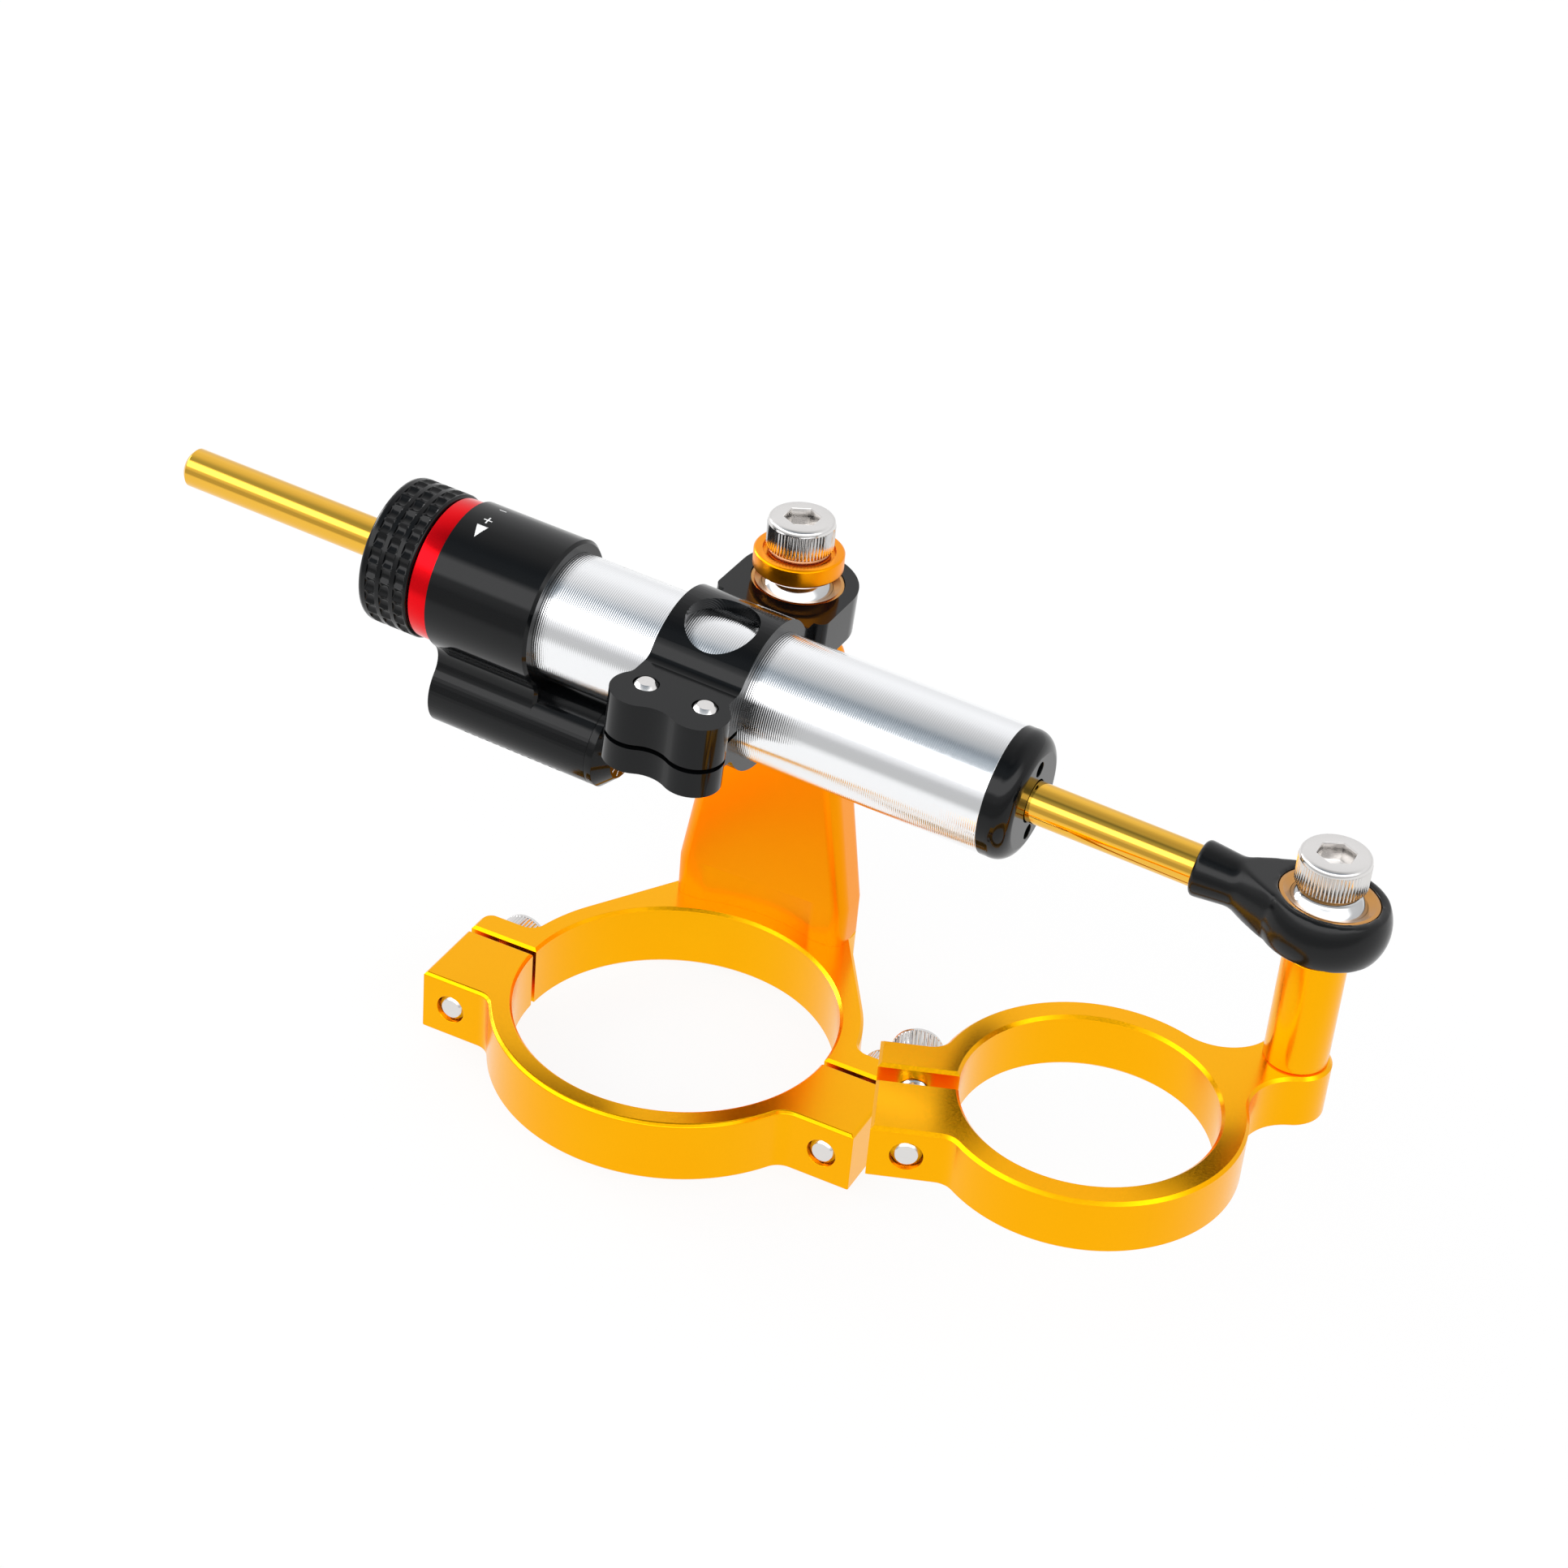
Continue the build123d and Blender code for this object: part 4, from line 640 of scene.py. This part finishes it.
ink.thickness = dial["tickDepth"] * mm
ink.offset = 0
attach(dialTicks, nodes["reservoir_dial"]["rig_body"])
print("reservoir end made")

# Marks on the head: plus, minus and a pointer, P = axis point + (up cos a - rear sin a) * radius.
# Each patch runs from station to station and from angle to angle in degrees, and its width
# shrinks to 1 - taper at its last angle
marks = {"radius": 15.05, "thick": 0.03, "rows": 9, "cols": 5,
         "patches": ((173.45, 175.25, 5.7, 6.7, 0), (174.21, 174.49, 2.4, 10.0, 0),
                     (173.5, 175.0, -14.9, -13.8, 0), (173.15, 175.6, 13.3, 25.4, 1))}
patches = []
v, w = np.linspace(0, 1, marks["rows"])[:, None], np.linspace(0, 1, marks["cols"])
for first, last, fromAngle, toAngle, taper in marks["patches"]:
    station = (first + last) / 2 + (w - 0.5) * (last - first) * (1 - taper * v)
    angle = np.radians(fromAngle + v * (toAngle - fromAngle))[..., None]
    outward = np.cos(angle) * upAxis - np.sin(angle) * rearAxis
    points = ballPoint + station[..., None] * alongAxis + outward * marks["radius"]
    patches.append(meshFromGrid("mark", points, closedRows=False, closedCols=False))
headMarks = finishPiece(joinMeshes("headMarks", patches), "headMarks", finishes["whitePaint"])
ink = headMarks.modifiers.new("inkDepth", "SOLIDIFY")
ink.thickness = marks["thick"] * mm
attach(headMarks, "damper")
print("marks made")

# Floor: mostly white to the camera and in reflections, fading to grey well in front of the
# object, and plain diffuse to all other rays. The plain share keeps a faint shadow.
# Its lengths are metres
ground = {"half": 4.0, "drop": 0.0002, "color": (0.93, 0.93, 0.93), "rough": 0.7,
          "whiteShare": 0.9, "fadeStart": -0.16, "fadeEnd": -0.34, "farGrey": 0.5}
half = ground["half"]
floorMesh = bpy.data.meshes.new("floor")
floorMesh.from_pydata([(-half, -half, 0), (half, -half, 0), (half, half, 0), (-half, half, 0)],
                      [], [(0, 1, 2, 3)])
floor = bpy.data.objects.new("floor", floorMesh)
bpy.context.scene.collection.objects.link(floor)
floor.location.z = float(cadBox[0][2]) - ground["drop"]
floorMat, shader = newFinish("paleFloor", ground["color"], 0.0, ground["rough"], {})
tree = floorMat.node_tree.nodes
rays = tree.new("ShaderNodeLightPath").outputs
direct = tree.new("ShaderNodeMath")
direct.operation = "MAXIMUM"
feed(floorMat, direct, {0: rays["Is Camera Ray"], 1: rays["Is Glossy Ray"]})
shown = tree.new("ShaderNodeMath")
shown.operation = "MAXIMUM"
feed(floorMat, shown, {0: direct.outputs[0], 1: rays["Is Transmission Ray"]})
share = tree.new("ShaderNodeMath")
share.operation = "MULTIPLY"
feed(floorMat, share, {0: shown.outputs[0], 1: ground["whiteShare"]})
spot = tree.new("ShaderNodeSeparateXYZ")
feed(floorMat, spot, {0: tree.new("ShaderNodeTexCoord").outputs["Object"]})
fade = tree.new("ShaderNodeMapRange")
fade.interpolation_type = "SMOOTHSTEP"
feed(floorMat, fade, {"Value": spot.outputs["Y"], "From Min": ground["fadeEnd"],
                      "From Max": ground["fadeStart"], "To Min": ground["farGrey"],
                      "To Max": 1.0})
glow = tree.new("ShaderNodeEmission")
feed(floorMat, glow, {"Color": fade.outputs["Result"], "Strength": 1.0})
mixed = tree.new("ShaderNodeMixShader")
feed(floorMat, mixed, {0: share.outputs[0], 1: shader.outputs[0], 2: glow.outputs[0]})
feed(floorMat, tree["Material Output"], {"Surface": mixed.outputs[0]})
floorMesh.materials.append(floorMat)

# Studio round the object: stops of (height, grey) or (height, red, green, blue), where height 0
# is straight down, 0.5 the horizon and 1 straight up. The front has one bright band of softbox
sky = {"front": ((0.0, 0.9), (0.45, 0.56), (0.53, 0.57), (0.58, 0.8), (0.66, 1.0), (0.70, 2.8),
                 (0.84, 2.8), (0.885, 0.5, 0.54, 0.58), (0.937, 0.4, 0.45, 0.5),
                 (0.98, 0.2, 0.23, 0.26), (1.0, 0.5, 0.52, 0.54)),
       "rear": ((0.0, 0.9), (0.5, 0.85), (0.63, 0.9), (0.78, 1.0), (0.894, 0.9), (0.967, 0.64),
                (1.0, 0.52)), "blend": 0.25}
world = bpy.data.worlds.new("studio")
bpy.context.scene.world = world
world.use_nodes = True
tree = world.node_tree.nodes
split = tree.new("ShaderNodeSeparateXYZ")
feed(world, split, {"Vector": tree.new("ShaderNodeTexCoord").outputs["Generated"]})


def skyRamp(stops):
    # Colour against height = (direction's Z + 1) / 2, where a plain grey gets 1 % more blue
    height = tree.new("ShaderNodeMapRange")
    feed(world, height, {"Value": split.outputs["Z"], "From Min": -1})
    ramp = tree.new("ShaderNodeValToRGB")
    feed(world, ramp, {"Fac": height.outputs["Result"]})
    while len(ramp.color_ramp.elements) < len(stops):
        ramp.color_ramp.elements.new(0.5)
    for element, (place, *level) in zip(ramp.color_ramp.elements, stops):
        grey = level[0]
        element.position = place
        element.color = (*level, 1) if len(level) == 3 else (grey, grey, grey * 1.01, 1)
    return ramp.outputs["Color"]


facing = tree.new("ShaderNodeMapRange")
facing.interpolation_type = "SMOOTHSTEP"
feed(world, facing, {"Value": split.outputs["Y"], "From Min": sky["blend"],
                     "From Max": -sky["blend"]})
blend = tree.new("ShaderNodeMix")
blend.data_type = "RGBA"
feed(world, blend, {"Factor": facing.outputs["Result"], "A": skyRamp(sky["rear"]),
                    "B": skyRamp(sky["front"])})
feed(world, tree["Background"], {"Color": blend.outputs["Result"], "Strength": 1.0})

# A small bright softbox at the left gives the black edges their glints. Places are metres
lamp = {"place": (-1.25, 0.22, 0.42), "aim": (-0.02, 0.0, 0.06), "width": 0.42, "height": 0.26,
        "watts": 3.4}
softbox = bpy.data.objects.new("softbox", bpy.data.lights.new("softbox", "AREA"))
bpy.context.scene.collection.objects.link(softbox)
softbox.data.shape = "RECTANGLE"
softbox.data.size, softbox.data.size_y = lamp["width"], lamp["height"]
softbox.data.energy = lamp["watts"]
softbox.location = lamp["place"]
aim = Vector(lamp["aim"]) - Vector(lamp["place"])
softbox.rotation_euler = aim.to_track_quat("-Z", "Y").to_euler()

# Camera at the photo's viewing angle: its place in millimetres, and the way it looks and its
# right-hand side as directions
view = {"place": (228.16332, -471.74392, 417.44827), "forward": (-0.33768, 0.76064, -0.55444),
        "right": (0.88926, 0.45087, 0.07696), "lens": 76.472, "sensor": 36, "clipStart": 0.01}
forward, right = np.array(view["forward"]), np.array(view["right"])
above = np.cross(right, forward)
camera = bpy.data.objects.new("camera", bpy.data.cameras.new("camera"))
bpy.context.scene.collection.objects.link(camera)
turned = Matrix(np.stack([right, above, -forward], 1).tolist()).to_4x4()
turned.translation = [value * mm for value in view["place"]]
camera.matrix_world = turned
camera.data.lens = view["lens"]
camera.data.sensor_width = view["sensor"]
camera.data.clip_start = view["clipStart"]
bpy.context.scene.camera = camera
bpy.context.scene.view_settings.view_transform = "Standard"
print("stage set")
